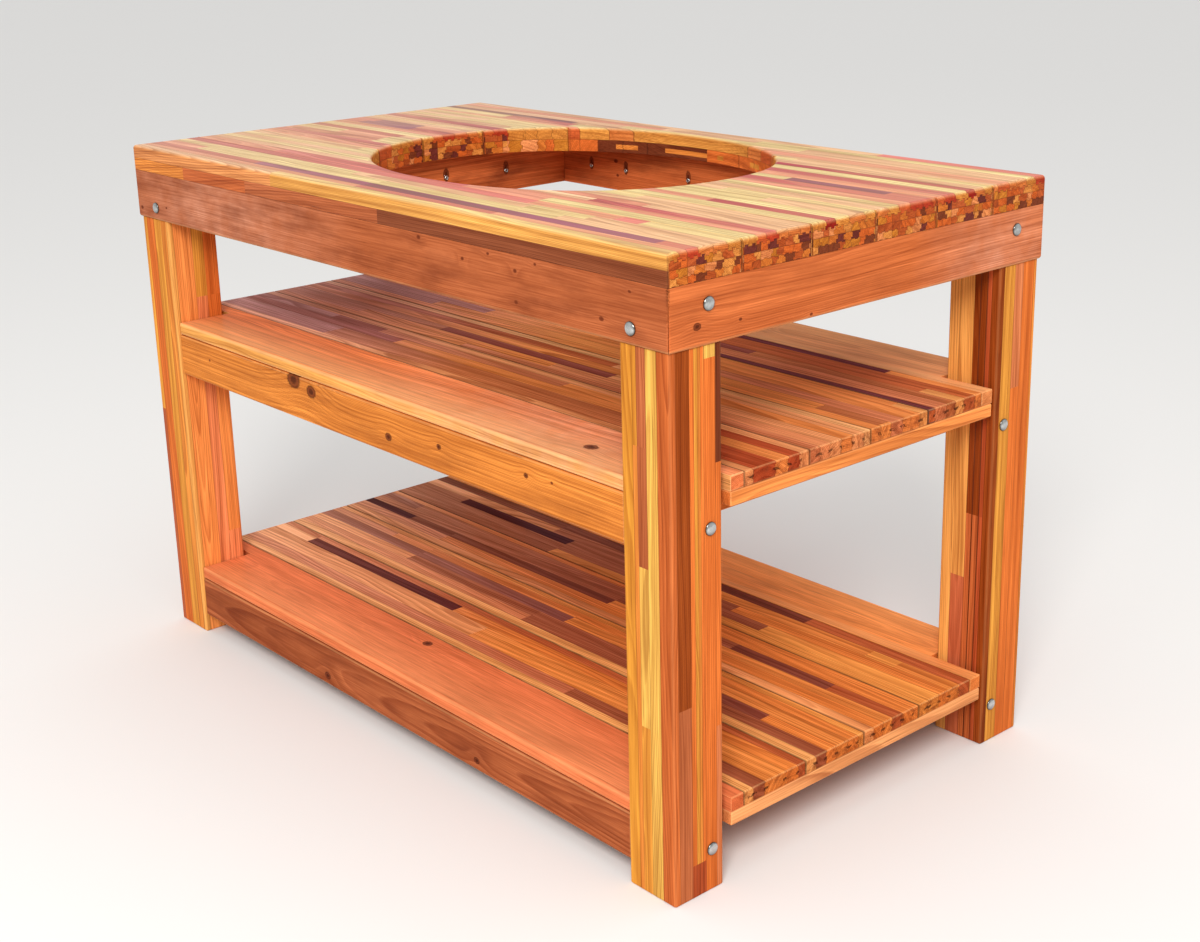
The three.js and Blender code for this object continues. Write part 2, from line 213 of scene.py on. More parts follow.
# The top
# Six boards, each glued up in two layers from narrow redwood staves, laid end to end in rows.
# The glue faces have small tongues, which show where the ends and the cut-out cross them.
# Outer edges and the rim of the oval cut-out are rounded over, sanded and oiled.
def outline_at(corners, radii, inset, arc_steps):
    """The plan of a piece with its sides drawn in and its corners eased.

    Each corner moves to where its two shifted sides meet. A corner with a radius becomes an arc
    tangent to both sides, and one without stays a point. Gives the points, the corner that each
    belongs to, how far round its arc it lies, from 0 to 1, and how far out on a bulge."""
    ahead = np.roll(corners, -1, axis=0) - corners
    ahead /= np.linalg.norm(ahead, axis=1, keepdims=True)
    facing = np.stack([ahead[:, 1], -ahead[:, 0]], 1)
    facing_before = np.roll(facing, 1, axis=0)
    inset_before = np.roll(inset, 1)
    along = (facing_before * facing).sum(1)
    mean = (inset_before + inset) / 2 / (1 + along)
    uneven = (inset_before - inset) / 2 / np.maximum(1 - along, 1e-6)
    moved = corners - mean[:, None] * (facing_before + facing) - uneven[:, None] * (facing_before - facing)
    ahead_before = np.roll(ahead, 1, axis=0)
    bend = np.arctan2(ahead_before[:, 0] * ahead[:, 1] - ahead_before[:, 1] * ahead[:, 0],
                      (ahead_before * ahead).sum(1))
    side = np.sign(bend)
    least = np.minimum(radii, radii * 0.2)
    round_now = np.where(radii > 0, np.maximum(radii - side * (inset_before + inset) / 2, least), 0)
    counts = np.where(radii > 0, arc_steps + 1, 1)
    corner = np.repeat(np.arange(len(corners)), counts)
    number = np.arange(len(corner)) - np.repeat(np.cumsum(counts) - counts, counts)
    share = number / np.maximum(counts[corner] - 1, 1)
    start = moved - ahead_before * (round_now * np.tan(np.abs(bend) / 2))[:, None]
    angle = (share * bend[corner])[:, None]
    spoke = facing_before[corner]
    turned = np.hstack([spoke[:, :1] * np.cos(angle) - spoke[:, 1:] * np.sin(angle),
                        spoke[:, :1] * np.sin(angle) + spoke[:, 1:] * np.cos(angle)])
    reach = (side * round_now)[corner][:, None]
    bulge = np.where((radii > 0) & (side > 0), 1.0, 0.0)[corner] * np.sin(np.pi * share)
    return start[corner] + reach * (turned - spoke), corner, share, bulge


def skin(name, points, wear_and_light, node=None, slot=None):
    """Puts a grid of points into a mesh. Rows run round the piece, one above the other, and the
    first and last row are closed by flat faces. It stands for the node that it replaces, if any."""
    levels, count = points.shape[:2]
    level, place = np.meshgrid(np.arange(levels - 1), np.arange(count), indexing="ij")
    following = (place + 1) % count
    quads = np.stack([level * count + place, level * count + following,
                      (level + 1) * count + following, (level + 1) * count + place], -1).reshape(-1, 4)
    bottom = np.arange(count)[::-1]
    lid = (levels - 1) * count + np.arange(count)
    mesh = bpy.data.meshes.new(name)
    mesh.from_pydata(points.reshape(-1, 3).tolist(), [], quads.tolist() + [bottom.tolist(), lid.tolist()])
    attribute = mesh.attributes.new("wear_and_light", "FLOAT", "POINT")
    attribute.data.foreach_set("value", np.ascontiguousarray(wear_and_light, dtype=np.float32).ravel())
    mesh.shade_smooth()
    piece = put_in(name, mesh)
    flat_faces = piece.modifiers.new("flat_faces", "WEIGHTED_NORMAL")
    flat_faces.weight = 100
    if node:
        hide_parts(node)
        slot = next(part["material_slot"] for part in frame["record"]["subparts"] if part["node"] == node)
    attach(piece, "root")
    return piece


def stack(node, corners, radii, heights, insets, wear_and_light, arc_steps=5):
    """Skins a piece from its plan outline, carried up through levels. Every level gives each
    side's height and how far it is drawn in. At a corner both pass evenly from side to side."""
    corners = np.asarray(corners, dtype=float)
    radii = np.asarray(radii, dtype=float)
    rows = []
    rims = []
    for height, inset, rounding_level in zip(heights, insets, wear_and_light):
        plan, corner, share, bulge = outline_at(corners, radii, inset, arc_steps)
        lone = np.where(radii[corner] > 0, share, 1.0)
        rise = np.roll(height, 1)[corner] * (1 - lone) + height[corner] * lone
        rows.append(np.column_stack([plan, rise]))
        rims.append(np.maximum(rounding_level, bulge * (1 - rounding_level * 0.3)))
    return skin(node + "_wood", np.array(rows), np.array(rims), node)


def eased_slab(node, corners, radii, low_rounds, high_rounds, steps=4, arc_steps=3):
    """A flat piece with rounded upper and lower edges. Each side has radii of its own there: at an
    angle a of the quarter round, the side is drawn in by r(1 - cos a) and stands r(1 - sin a) short."""
    low, high = (corner[2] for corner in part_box(node))
    low_rounds = np.broadcast_to(low_rounds, len(corners)).astype(float)
    high_rounds = np.broadcast_to(high_rounds, len(corners)).astype(float)
    angles = np.linspace(0, np.pi / 2, steps + 1)
    heights = [low + low_rounds * (1 - np.sin(a)) for a in angles[::-1]]
    heights += [high - high_rounds * (1 - np.sin(a)) for a in angles]
    insets = [low_rounds * (1 - np.cos(a)) for a in angles[::-1]]
    insets += [high_rounds * (1 - np.cos(a)) for a in angles]
    wear_and_light = np.sin(2 * np.concatenate([angles[::-1], angles]))
    return stack(node, corners, radii, heights, insets, wear_and_light, arc_steps)


def shared_group(name, inputs, outputs):
    """A node group. An input without a value is a colour, and so are the outputs Color and Seed.
    Gives the tree, what the group is given, and the node that takes its results."""
    tree = bpy.data.node_groups.new(name, "ShaderNodeTree")
    for label, value in inputs.items():
        kind = "NodeSocketColor" if value is None else "NodeSocketFloat"
        socket = tree.interface.new_socket(label, in_out="INPUT", socket_type=kind)
        if value is not None:
            socket.default_value = value
    for label in outputs:
        kind = "NodeSocketColor" if label in ("Color", "Seed") else "NodeSocketFloat"
        tree.interface.new_socket(label, in_out="OUTPUT", socket_type=kind)
    return tree, Outputs(tree.nodes.new("NodeGroupInput")), tree.nodes.new("NodeGroupOutput")


def blend(factor, under, over, mode="MIX"):
    """One colour laid over another one, as far as the factor says."""
    feeds = {"Factor": factor, 6: under, 7: over}
    return add(tree_of(*feeds.values()), "Mix", feeds, data_type="RGBA", blend_type=mode)[2]


def vector(tree, *parts):
    return add(tree, "CombineXYZ", dict(enumerate(parts)))[0]


def noise(tree, spot, scale, detail, roughness=0.5, shift=None):
    """Soft noise at a place. A shift, where there is one, moves it along a fourth measure."""
    feeds = {"Vector": spot, "Scale": scale, "Detail": detail, "Roughness": roughness}
    if shift is None:
        return add(tree, "TexNoise", feeds)["Fac"]
    return add(tree, "TexNoise", {**feeds, "W": shift}, noise_dimensions="4D")["Fac"]


def draw_lots(tree, feeds, kind="3D"):
    """White noise: another number and colour for every input."""
    return add(tree, "TexWhiteNoise", feeds, noise_dimensions=kind)


# Redwood grain: yearly rings round a pith that leans and wanders, cut by whatever face shows,
# with fine fibres along the wood. Late wood is the thin dark line at the end of each ring.
redwood_grain, given, result = shared_group(
    "redwood_grain",
    {"Along": 0, "Across": 0, "Deep": 0, "Seed": None, "Ring Width": 0.002, "Push": 0, "Lean": 0,
     "Waviness": 0.030},
    ("Late", "Fibre", "Cloud", "Band"))
tree = redwood_grain
pith_spread = 0.16
pith_drift = 0.10
pith_least = 0.012
pith_most_deeper = 0.11
along, across, deep = given["Along"], given["Across"], given["Deep"]
seed = add(tree, "SeparateColor", {"Color": given["Seed"]})
lean = (seed[2] - 0.5) * along
pith_across = (seed[0] - 0.5).times_plus(pith_spread, lean * pith_drift)
pith_deep = along.times_plus(given["Lean"], seed[1].times_plus(pith_most_deeper, pith_least))
shift = seed[0] * 57.0
slow = vector(tree, along * 1.6, across, deep)
spot = add(tree, "VectorMath", {0: slow, 1: (1.0, 9.0, 9.0)}, operation="MULTIPLY")[0]
wander = noise(tree, spot, 1.0, 2.5, 0.45, shift)
reach = calc("SQRT", abs(across - pith_across) ** 2.0 + abs(deep + pith_deep) ** 2.0)
reach = wander.times_plus(given["Waviness"], reach)
rings = (reach + given["Push"]) / given["Ring Width"]
year = draw_lots(tree, {"W": calc("FLOOR", rings)}, "1D")["Value"]
within = calc("FRACT", rings)
growing = within.mapped(0.25, 0.9, easing="SMOOTHSTEP")
ending = within.mapped(0.9, 1.0, 1.0, 0.0)
band = add(tree, "TexNoise", {"W": rings.times_plus(0.37, shift), "Scale": 1.0, "Detail": 2.0},
           noise_dimensions="1D")["Fac"]
threads = vector(tree, along * 9.0, across * 520.0, deep * 520.0)
patches = vector(tree, along * 3.2, across * 42.0, deep * 42.0)
feed(result, {
    "Late": growing * ending * year.times_plus(0.7, 0.3),
    "Fibre": noise(tree, threads, 1.0, 3.0, 0.62, shift),
    "Cloud": noise(tree, patches, 1.0, 3.0, shift=shift),
    "Band": band + within.mapped(0.0, 0.16, 0.12, 0.0)})

# The oiled finish: the ground colour, darker late wood and end grain, paler edges that are partly
# worn and partly a painted highlight, and a sheen that is drier in the fibres. Green and blue fall
# off faster than red, so it darkens warm.
oiled_finish, given, result = shared_group(
    "oiled_finish",
    {"Ground": None, "Late": 0, "Fibre": 0.5, "Cloud": 0.5, "Band": 0.5, "Figure": 0.6, "Wear And Highlight": 0, "End": 0,
     "Heart": 0, "Dark": 0, "Joint": 1},
    ("Color", "Roughness", "Height"))
tree = oiled_finish
late_wood = "a05c3a"
end_grain = "f8e0d0"
worn_and_highlit_wood = "f6c98c"
knot_heart = "6e2f1a"
dark_stain = "32150c"
ground, late, fibre, figure, end = (given[key] for key in ("Ground", "Late", "Fibre", "Figure", "End"))
ringed = blend(late * figure, ground, blend(1.0, ground, linear(late_wood), "MULTIPLY"))
level = 1.0
figured = figure.times_plus(1.1, 0.1)
for key, least, most, strength in (
        ("Fibre", -0.25, 0.22, 1.0), ("Cloud", -0.20, 0.14, 1.0), ("Band", -0.28, 0.20, figured)):
    level = given[key].mapped(0.28, 0.72, least, most).times_plus(strength, 1.0) * level
level = level * end.times_plus(-0.16, 1.0)
darker_end = blend(end * 0.75, ringed, blend(1.0, ringed, linear(end_grain), "MULTIPLY"))
warmth = add(tree, "CombineColor", {"Red": level, "Green": level ** 1.35, "Blue": level ** 1.6})[0]
lit = blend(1.0, darker_end, warmth, "MULTIPLY")
# Paler edges: partly wear, partly a painted highlight where the rounding catches the light.
worn_and_highlit = blend(given["Wear And Highlight"] * 0.20, lit, linear(worn_and_highlit_wood))
heart = blend(given["Heart"] * 0.85, worn_and_highlit, linear(knot_heart))
line = given["Joint"].mapped(0.0001, end.times_plus(0.0004, 0.0005), 0.5, 0.0)
flecks = fibre.mapped(0.345, 0.29, 0.0, 0.30)
spoilt = given["Dark"].at_least(line).at_least(flecks)
dry = late.times_plus(-0.05, end.times_plus(0.10, fibre.times_plus(0.16, 0.27)))
relief = spoilt.times_plus(-1.2, late.times_plus(0.55, fibre * 0.45))
feed(result, {"Color": blend(spoilt, heart, linear(dark_stain)), "Roughness": dry, "Height": relief})

# Glue faces: small square tongues, so a joint seen on end steps to and fro. Each joint has its own
# phase, drawn at random, and its own share of the tongue's depth.
glue_tongues, given, result = shared_group(
    "glue_tongues", {"Across": 0, "Deep": 0, "Tongue": 0.002, "Pitch": 0.0065}, ("Across", "Deep"))
for label, other, spacing in (("Across", "Deep", 0.014), ("Deep", "Across", 0.0105)):
    joint_number = calc("ROUND", given[label] / spacing)
    draw = draw_lots(glue_tongues, {"W": joint_number + spacing * 900}, "1D")["Value"]
    side = calc("SIGN", calc("FRACT", given[other] / (given["Pitch"] * 2.0) + draw) - 0.5)
    reach = calc("FRACT", draw * 7.0).times_plus(1.3, -0.2).at_least(0.0)
    feed(result, {label: given[label] + side * reach * given["Tongue"]})


def tone_list(text):
    """Reads tones: a name and the colour that it stands for, again and again."""
    words = text.split()
    return dict(zip(words[::2], words[1::2]))


stave_tones = tone_list("""
    cream dfab52 gold df963e honey d68e35 amber dd873b straw eca656 rust c26431 bark 87482b
    orange dd7433 flame f79850 salmon d97f4f copper cb6c3a russet b3623a coral f2905c blush e67e4e
    sunset f5884b peach f2a468 rose c06540 red b4522c brown 944418 umber 743820 plum 7a3c36""")
bleached_tones = tone_list("""
    cream ecd492 gold eac982 tan eab98c salmon e49676 rose d06862 red b8404a plum 86225e
    umber 6c2438""")


def staves(words):
    """Staves laid end to end: each has its tone and, but for the last, where it stops, in mm."""
    return list(zip(words[::2], [float(word) / 1000 for word in words[1::2]] + [None]))


def cut_list(text):
    """Reads rows of staves, one to a line: the width of the row in mm, and its staves."""
    lines = [line.split() for line in text.strip().splitlines()]
    return [(float(words[0]) / 1000, staves(words[1:])) for words in lines]


def row_of_staves(tree, along, start, finish, row, tones=stave_tones):
    """Colours the staves of one row, laid between its start and its finish."""
    ramp = add(tree, "ValToRGB", {"Fac": along.mapped(start, finish)})
    ramp.node.color_ramp.interpolation = "CONSTANT"
    stops = ramp.node.color_ramp.elements
    stops.remove(stops[1])
    begin = 0.0
    for k, (tone, stop) in enumerate(row):
        mark = stops[0] if k == 0 else stops.new(begin)
        mark.position = begin
        mark.color = linear(tones[tone])
        begin = (stop - start) / (finish - start) if stop is not None else 1.0
    return ramp["Color"]


def glue_up(tree, along, across, start, finish, edge, rows, tones=stave_tones):
    """Rows side by side: each row has its width and its staves. Gives the ground colour of the
    stave at a place, a seed of its own for the grain, and how far off the nearest joint is."""
    colour = row_of_staves(tree, along, start, finish, rows[0][1], tones)
    edge += rows[0][0]
    count = 0.0
    joint = 1.0
    for width, row in rows[1:]:
        next_colour = row_of_staves(tree, along, start, finish, row, tones)
        beyond = across > edge
        colour = blend(beyond, colour, next_colour)
        count = beyond + count
        joint = abs(across - edge).at_most(joint)
        edge += width
    seed = draw_lots(tree, {"Vector": colour, "W": count}, "4D")["Color"]
    return colour, seed, joint


# Staves that nobody picks out: rows of uneven width, cut to random lengths, in random tones.
common_staves, given, result = shared_group(
    "common_staves",
    {"Along": 0, "Across": 0, "Stave Width": 0.021, "Stave Length": 0.4, "Seed": 0},
    ("Color", "Seed", "Joint"))
tree = common_staves
pairs = given["Across"] / (given["Stave Width"] * 2.0)
pair = calc("FLOOR", pairs)
split = draw_lots(tree, {"Vector": vector(tree, pair, given["Seed"])})["Value"]
turn_over = split.times_plus(0.4, 0.3)
part_way = calc("FRACT", pairs)
row_number = pair.times_plus(2.0, part_way > turn_over)
to_joint = abs(part_way - turn_over).at_most(part_way.at_most(1.0 - part_way))
row_seed = draw_lots(tree, {"Vector": vector(tree, row_number, given["Seed"])})["Value"]
pieces = (given["Along"] / given["Stave Length"]).times_plus(row_seed.times_plus(0.6, 0.7), row_seed * 31.0)
stave = draw_lots(tree, {"Vector": vector(tree, row_number, calc("FLOOR", pieces), given["Seed"])})
ramp = add(tree, "ValToRGB", {"Fac": stave["Value"]})
marks = ramp.node.color_ramp
marks.interpolation = "CONSTANT"
common_tones = ("orange", "amber", "peach", "copper", "rust", "orange", "straw", "bark", "honey", "plum")
for k, tone in enumerate(common_tones):
    mark = marks.elements[0] if k == 0 else marks.elements.new(k / len(common_tones))
    mark.color = linear(stave_tones[tone])
marks.elements.remove(marks.elements[-1])
feed(result, {"Color": ramp["Color"], "Seed": stave["Color"],
              "Joint": to_joint * (given["Stave Width"] * 2.0)})


def finish_tree(node):
    """A new material, with the place and the facing that its finish is read from."""
    material = bpy.data.materials.new(node + "_finish")
    tree = bare_tree(material)
    coordinates = add(tree, "TexCoord")
    facing = add(tree, "SeparateXYZ", {0: coordinates["Normal"]})
    return material, tree, coordinates["Object"], facing


grain_relief = 0.0006
coat_roughness = 0.25


def wood_surface(tree, grain, feeds, coat=0.05, gloss=0.006):
    """The oiled wood shader over the shared grain and finish. The gloss is how strongly the bare
    wood shines."""
    rings = add(tree, "Group", grain, node_tree=redwood_grain)
    feeds = {**{key: rings[key] for key in ("Late", "Fibre", "Cloud", "Band")}, **feeds}
    finish = add(tree, "Group", feeds, node_tree=oiled_finish)
    bump = add(tree, "Bump", {"Height": finish["Height"], "Distance": grain_relief, "Strength": 0.5})
    shine(tree, {"Base Color": finish["Color"], "Roughness": finish["Roughness"], "Normal": bump[0],
                 "Coat Weight": coat, "Coat Roughness": coat_roughness, "Specular IOR Level": gloss})


def choose(mask, one, other):
    """The first number where the mask is 0, and the other one where it is 1."""
    return add(tree_of(mask), "Mix", {"Factor": mask, 2: one, 3: other})[0]


def edge_wear_and_light(tree):
    """How rounded the surface is at a place, from the mesh's own attribute."""
    return add(tree, "Attribute", attribute_name="wear_and_light")["Fac"]


top_length = 1.346
top_depth = 0.756
half_length = top_length / 2
half_depth = top_depth / 2
top_edge_round = 0.006
top_corner_round = 0.004
joint_ease = 0.0006
under_ease = 0.0008
cutout_half_length = 0.347
cutout_half_depth = 0.284
cutout_back_shift = 0.042
cutout_fullness = 2.2
board_half_width = 0.063
layer_height = 0.021

top_rows = {
    "top_board_1_front": (-0.378, """
        18 tan -225 gold
        15 salmon -20 rose 310 salmon
        20 rose -330 plum 615 rose
        25 salmon -550 cream 390 tan
        23 cream -120 tan 300 cream 430 tan
        25 rose 280 salmon 460 rose 510 cream"""),
    "top_board_2": (-0.252, """
        27 salmon -420 rose 100 salmon 275 cream
        18 tan 120 salmon
        19 cream -210 tan 330 rose
        20 tan 50 salmon 420 tan
        20 cream 200 tan
        22 tan -330 cream 360 tan"""),
    "top_board_3": (-0.126, """
        28 salmon -250 cream
        20 rose -330 salmon 450 red
        26 salmon -390 cream
        30 cream -540 salmon -400 cream 360 cream 500 tan
        22 red -390 tan 400 cream"""),
    "top_board_4": (0.0, """
        25 cream 350 tan
        23 salmon -340 cream
        24 rose -620 plum -460 rose -340 salmon
        25 rose -600 plum -470 salmon -340 rose
        20 tan -340 cream 415 plum 600 rose
        9 cream -340 salmon"""),
    "top_board_5": (0.126, """
        18 tan -340 salmon
        24 red -340 rose
        26 tan -340 cream
        18 cream 0 red
        20 tan -450 cream 0 tan
        20 cream 300 tan 550 cream"""),
    "top_board_6_back": (0.252, """
        12 salmon 0 tan
        27 cream -460 rose -270 cream 150 salmon
        17 umber -290 tan
        24 tan -180 cream 250 tan
        20 salmon -100 tan 130 cream
        26 tan 370 rose"""),
}
lower_rows = {
    "top_board_1_front": [((-0.070, -0.048), (-1.0, 1.0), "amber -500 copper -300 russet 68 bark")],
    "top_board_6_back": [
        ((-0.070, 0.020), (-1.0, 1.0), "orange -209 umber 24 orange"),
        ((-0.070, 0.020), (0.006, 0.014), "orange -209 umber -174 amber -136 umber -77 amber 24 "
                                          "orange 50 gold 66 orange 142 gold 174 orange")],
}
# Tints of the top: the sides' warmer tint, the front face's painted sunlit highlight, and a painted sky
# reflection on the upper face, strongest at the left end.
side_tint = "f0b880"
sunlit_edge = "f2caa0"
sky_reflection_tint = "f2c8b4"
sky_reflection_share = 0.30
sky_reflection_start = -0.65
sky_reflection_end = 0.10
front_face = -0.370
block_height = 0.0105
block_width = 0.015
lower_stave_width = 0.017
lower_stave_length = 0.34
top_tongue = 0.0022
top_ring_width = 0.0021
seam_reach = 0.0030
seam_core = 0.0012
seam_line = 0.0001


def top_finish(board, number):
    """Rows listed one by one in the upper layer and common staves in the lower one. The sides take a
    warmer tint, the front face a paler one as a painted sunlit highlight, the upper face a painted sky
    reflection towards the left, and the ends show the tongued joints."""
    start, text = top_rows[board]
    material, tree, place, facing = finish_tree(board)
    x, y, z = add(tree, "SeparateXYZ", {0: place})
    middle = start + board_half_width
    local = y - middle
    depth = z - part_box("top_board_2")[0][2]
    end = abs(facing[0]) ** 2.0
    stepped = add(tree, "Group", {"Across": local, "Deep": depth, "Tongue": end * top_tongue},
                  node_tree=glue_tongues)
    limit = board_half_width - seam_line
    across = stepped["Across"].at_least(-limit).at_most(limit)
    upper, upper_seed, upper_joint = glue_up(tree, x, across, -half_length, half_length, start - middle,
                                             cut_list(text), bleached_tones)
    # Sides take the warmer tint and the front face a paler one, a painted sunlit highlight. Upward faces
    # take the painted sky reflection instead.
    oiled = blend(y < front_face, linear(side_tint), linear(sunlit_edge))
    warmer = blend(1.0, upper, oiled, "MULTIPLY")
    sky_reflected = blend(x.mapped(sky_reflection_start, sky_reflection_end, sky_reflection_share, 0.0), upper, linear(sky_reflection_tint))
    upper = blend(facing[2].mapped(0.35, 0.95, easing="SMOOTHSTEP"), warmer, sky_reflected)
    on_end = end > 0.8
    tier = calc("FLOOR", stepped["Deep"] / block_height)
    lower = add(tree, "Group", {
        "Along": x, "Across": across, "Stave Length": lower_stave_length,
        "Stave Width": on_end.times_plus(block_width - lower_stave_width, lower_stave_width),
        "Seed": (tier * on_end).times_plus(7.0, float(number))}, node_tree=common_staves)
    lower_colour = lower["Color"]
    lower_seed = lower["Seed"]
    for reach, rise, words in lower_rows.get(board, ()):
        inside = 1.0 - on_end
        for value, (first, last) in ((local, reach), (depth, rise)):
            inside = (value > first) * inside
            inside = (value < last) * inside
        row = row_of_staves(tree, x, -half_length, half_length, staves(words.split()))
        lower_colour = blend(inside, lower_colour, row)
        lower_seed = blend(inside, lower_seed, row)
    layer_top = on_end.times_plus(block_height * 3 - layer_height, layer_height)
    is_upper = stepped["Deep"] > layer_top
    between = abs(stepped["Deep"] - layer_top)
    within = calc("FRACT", stepped["Deep"] / block_height)
    tier_joint = within.at_most(1.0 - within) * block_height
    lower_joint = lower["Joint"].at_most(tier_joint + (1.0 - on_end))
    seam = abs(local).mapped(board_half_width - seam_reach, board_half_width - seam_core, 0.0, 0.8)
    grain = {"Along": x, "Across": local, "Deep": depth, "Seed": blend(is_upper, lower_seed, upper_seed),
             "Ring Width": top_ring_width}
    # The paler edges weigh more on upward faces, as a painted highlight there.
    wood_surface(tree, grain, {
        "Ground": blend(is_upper, lower_colour, upper), "Figure": 0.55, "End": end, "Dark": seam * end,
        "Wear And Highlight": edge_wear_and_light(tree) * facing[2].at_least(0.0).times_plus(0.85, 0.15),
        "Joint": choose(is_upper, lower_joint, upper_joint).at_most(between)}, coat=0.03, gloss=0.035)
    return material


def oval_run(y_from, y_to, hand, count):
    """Points along one side of the oval, even in the angle that the superellipse's formula turns on."""
    def angle(y):
        share = (y - cutout_back_shift) / cutout_half_depth
        return np.arcsin(np.clip(np.sign(share) * np.abs(share) ** (cutout_fullness / 2), -1, 1))
    turn = np.linspace(angle(y_from), angle(y_to), count)
    rise = np.sign(np.sin(turn)) * np.abs(np.sin(turn)) ** (2 / cutout_fullness)
    reach = np.cos(turn) ** (2 / cutout_fullness)
    return np.stack([hand * cutout_half_length * reach, cutout_back_shift + cutout_half_depth * rise], 1)


def cut_edge(y_from, y_turn, y_to, hand, count, after):
    """The rim of the cut-out along one board, past the oval's end where the board holds it. Every
    point has its corner's radius and the edge round of the side that follows it."""
    run = oval_run(y_from, y_turn, hand, count)
    if y_turn != y_to:
        run = np.vstack([run, oval_run(y_turn, y_to, -hand, count)[1:]])
    radii = [joint_ease] + [0.0] * (len(run) - 2) + [joint_ease]
    rounds = [top_edge_round] * (len(run) - 1) + [after]
    return list(zip(run.tolist(), radii, rounds))


def lay_top_board(node, number):
    """Outlines one board of the top, cut back to the oval where it meets it."""
    (x0, y0, _), (x1, y1, _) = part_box(node)
    front = top_edge_round if number == 0 else joint_ease
    back = top_edge_round if number == 5 else joint_ease
    front_corner = top_corner_round if number == 0 else joint_ease
    back_corner = top_corner_round if number == 5 else joint_ease
    near_left = ((x0, y0), front_corner, front)
    near_right = ((x1, y0), front_corner, top_edge_round)
    far_right = ((x1, y1), back_corner, back)
    far_left = ((x0, y1), back_corner, top_edge_round)
    if number == 0:
        outline = [near_left, near_right, far_right, far_left]
    elif number == 1:
        foot = cutout_back_shift - cutout_half_depth
        outline = [near_left, near_right, far_right, *cut_edge(y1, foot, y1, 1, 40, back), far_left]
    elif number == 5:
        crest = cutout_back_shift + cutout_half_depth
        outline = [near_left, *cut_edge(y0, crest, y0, -1, 32, front), near_right, far_right, far_left]
    elif node.endswith("_left"):
        outline = [near_left, *cut_edge(y0, y1, y1, -1, 26, back), far_left]
    else:
        outline = [near_right, far_right, *cut_edge(y1, y0, y0, 1, 26, front)]
    corners, radii, rounds = zip(*outline)
    return eased_slab(node, corners, radii, under_ease, rounds, steps=7, arc_steps=4)


for number, board in enumerate(top_rows):
    finish = top_finish(board, number)
    for node in (board, board + "_left", board + "_right"):
        if node in frame["nodes"]:
            piece = lay_top_board(node, number)
            piece.data.materials.append(finish)


# The apron
# Four redwood boards on edge under the rim of the top, glued at mitred corners, their lower
# outer edge rounded. Two bearers of the same stock cross inside, beside the cut-out.
apron_thickness = 0.024
apron_bottom_round = 0.005
mitre_gap = 0.00015
pocket_radius = 0.0115
pocket_narrowness = 0.5
pin_knot = 0.0032

# A knot: a dark heart with a darker core and rim, ragged at its border, which pushes the rings of
# the wood aside. The pockets bored for the screws are drawn in the same way, as painted shade in
# the holes.
knot, given, result = shared_group(
    "knot",
    {"Along": 0, "Across": 0, "Place Along": 0, "Place Across": 0, "Radius": 0.004, "Long": 1.5},
    ("Heart", "Dark", "Push"))
from_along = (given["Along"] - given["Place Along"]) / given["Long"]
from_across = given["Across"] - given["Place Across"]
ragged = noise(knot, vector(knot, given["Along"], given["Across"]), 260.0, 2.0)
far = calc("SQRT", from_along * from_along + from_across * from_across) / given["Radius"]
far = far + ragged.times_plus(0.5, -0.25)
core = far.mapped(0.30, 0.70, 0.65, 0.0, "SMOOTHSTEP")
rim = abs(far - 0.97).mapped(0.03, 0.22, 0.6, 0.0)
feed(result, {"Heart": far.mapped(0.85, 1.1, 1.0, 0.0, "SMOOTHSTEP"), "Dark": core.at_least(rim),
              "Push": given["Radius"] * calc("EXPONENT", far * far * -0.05)})


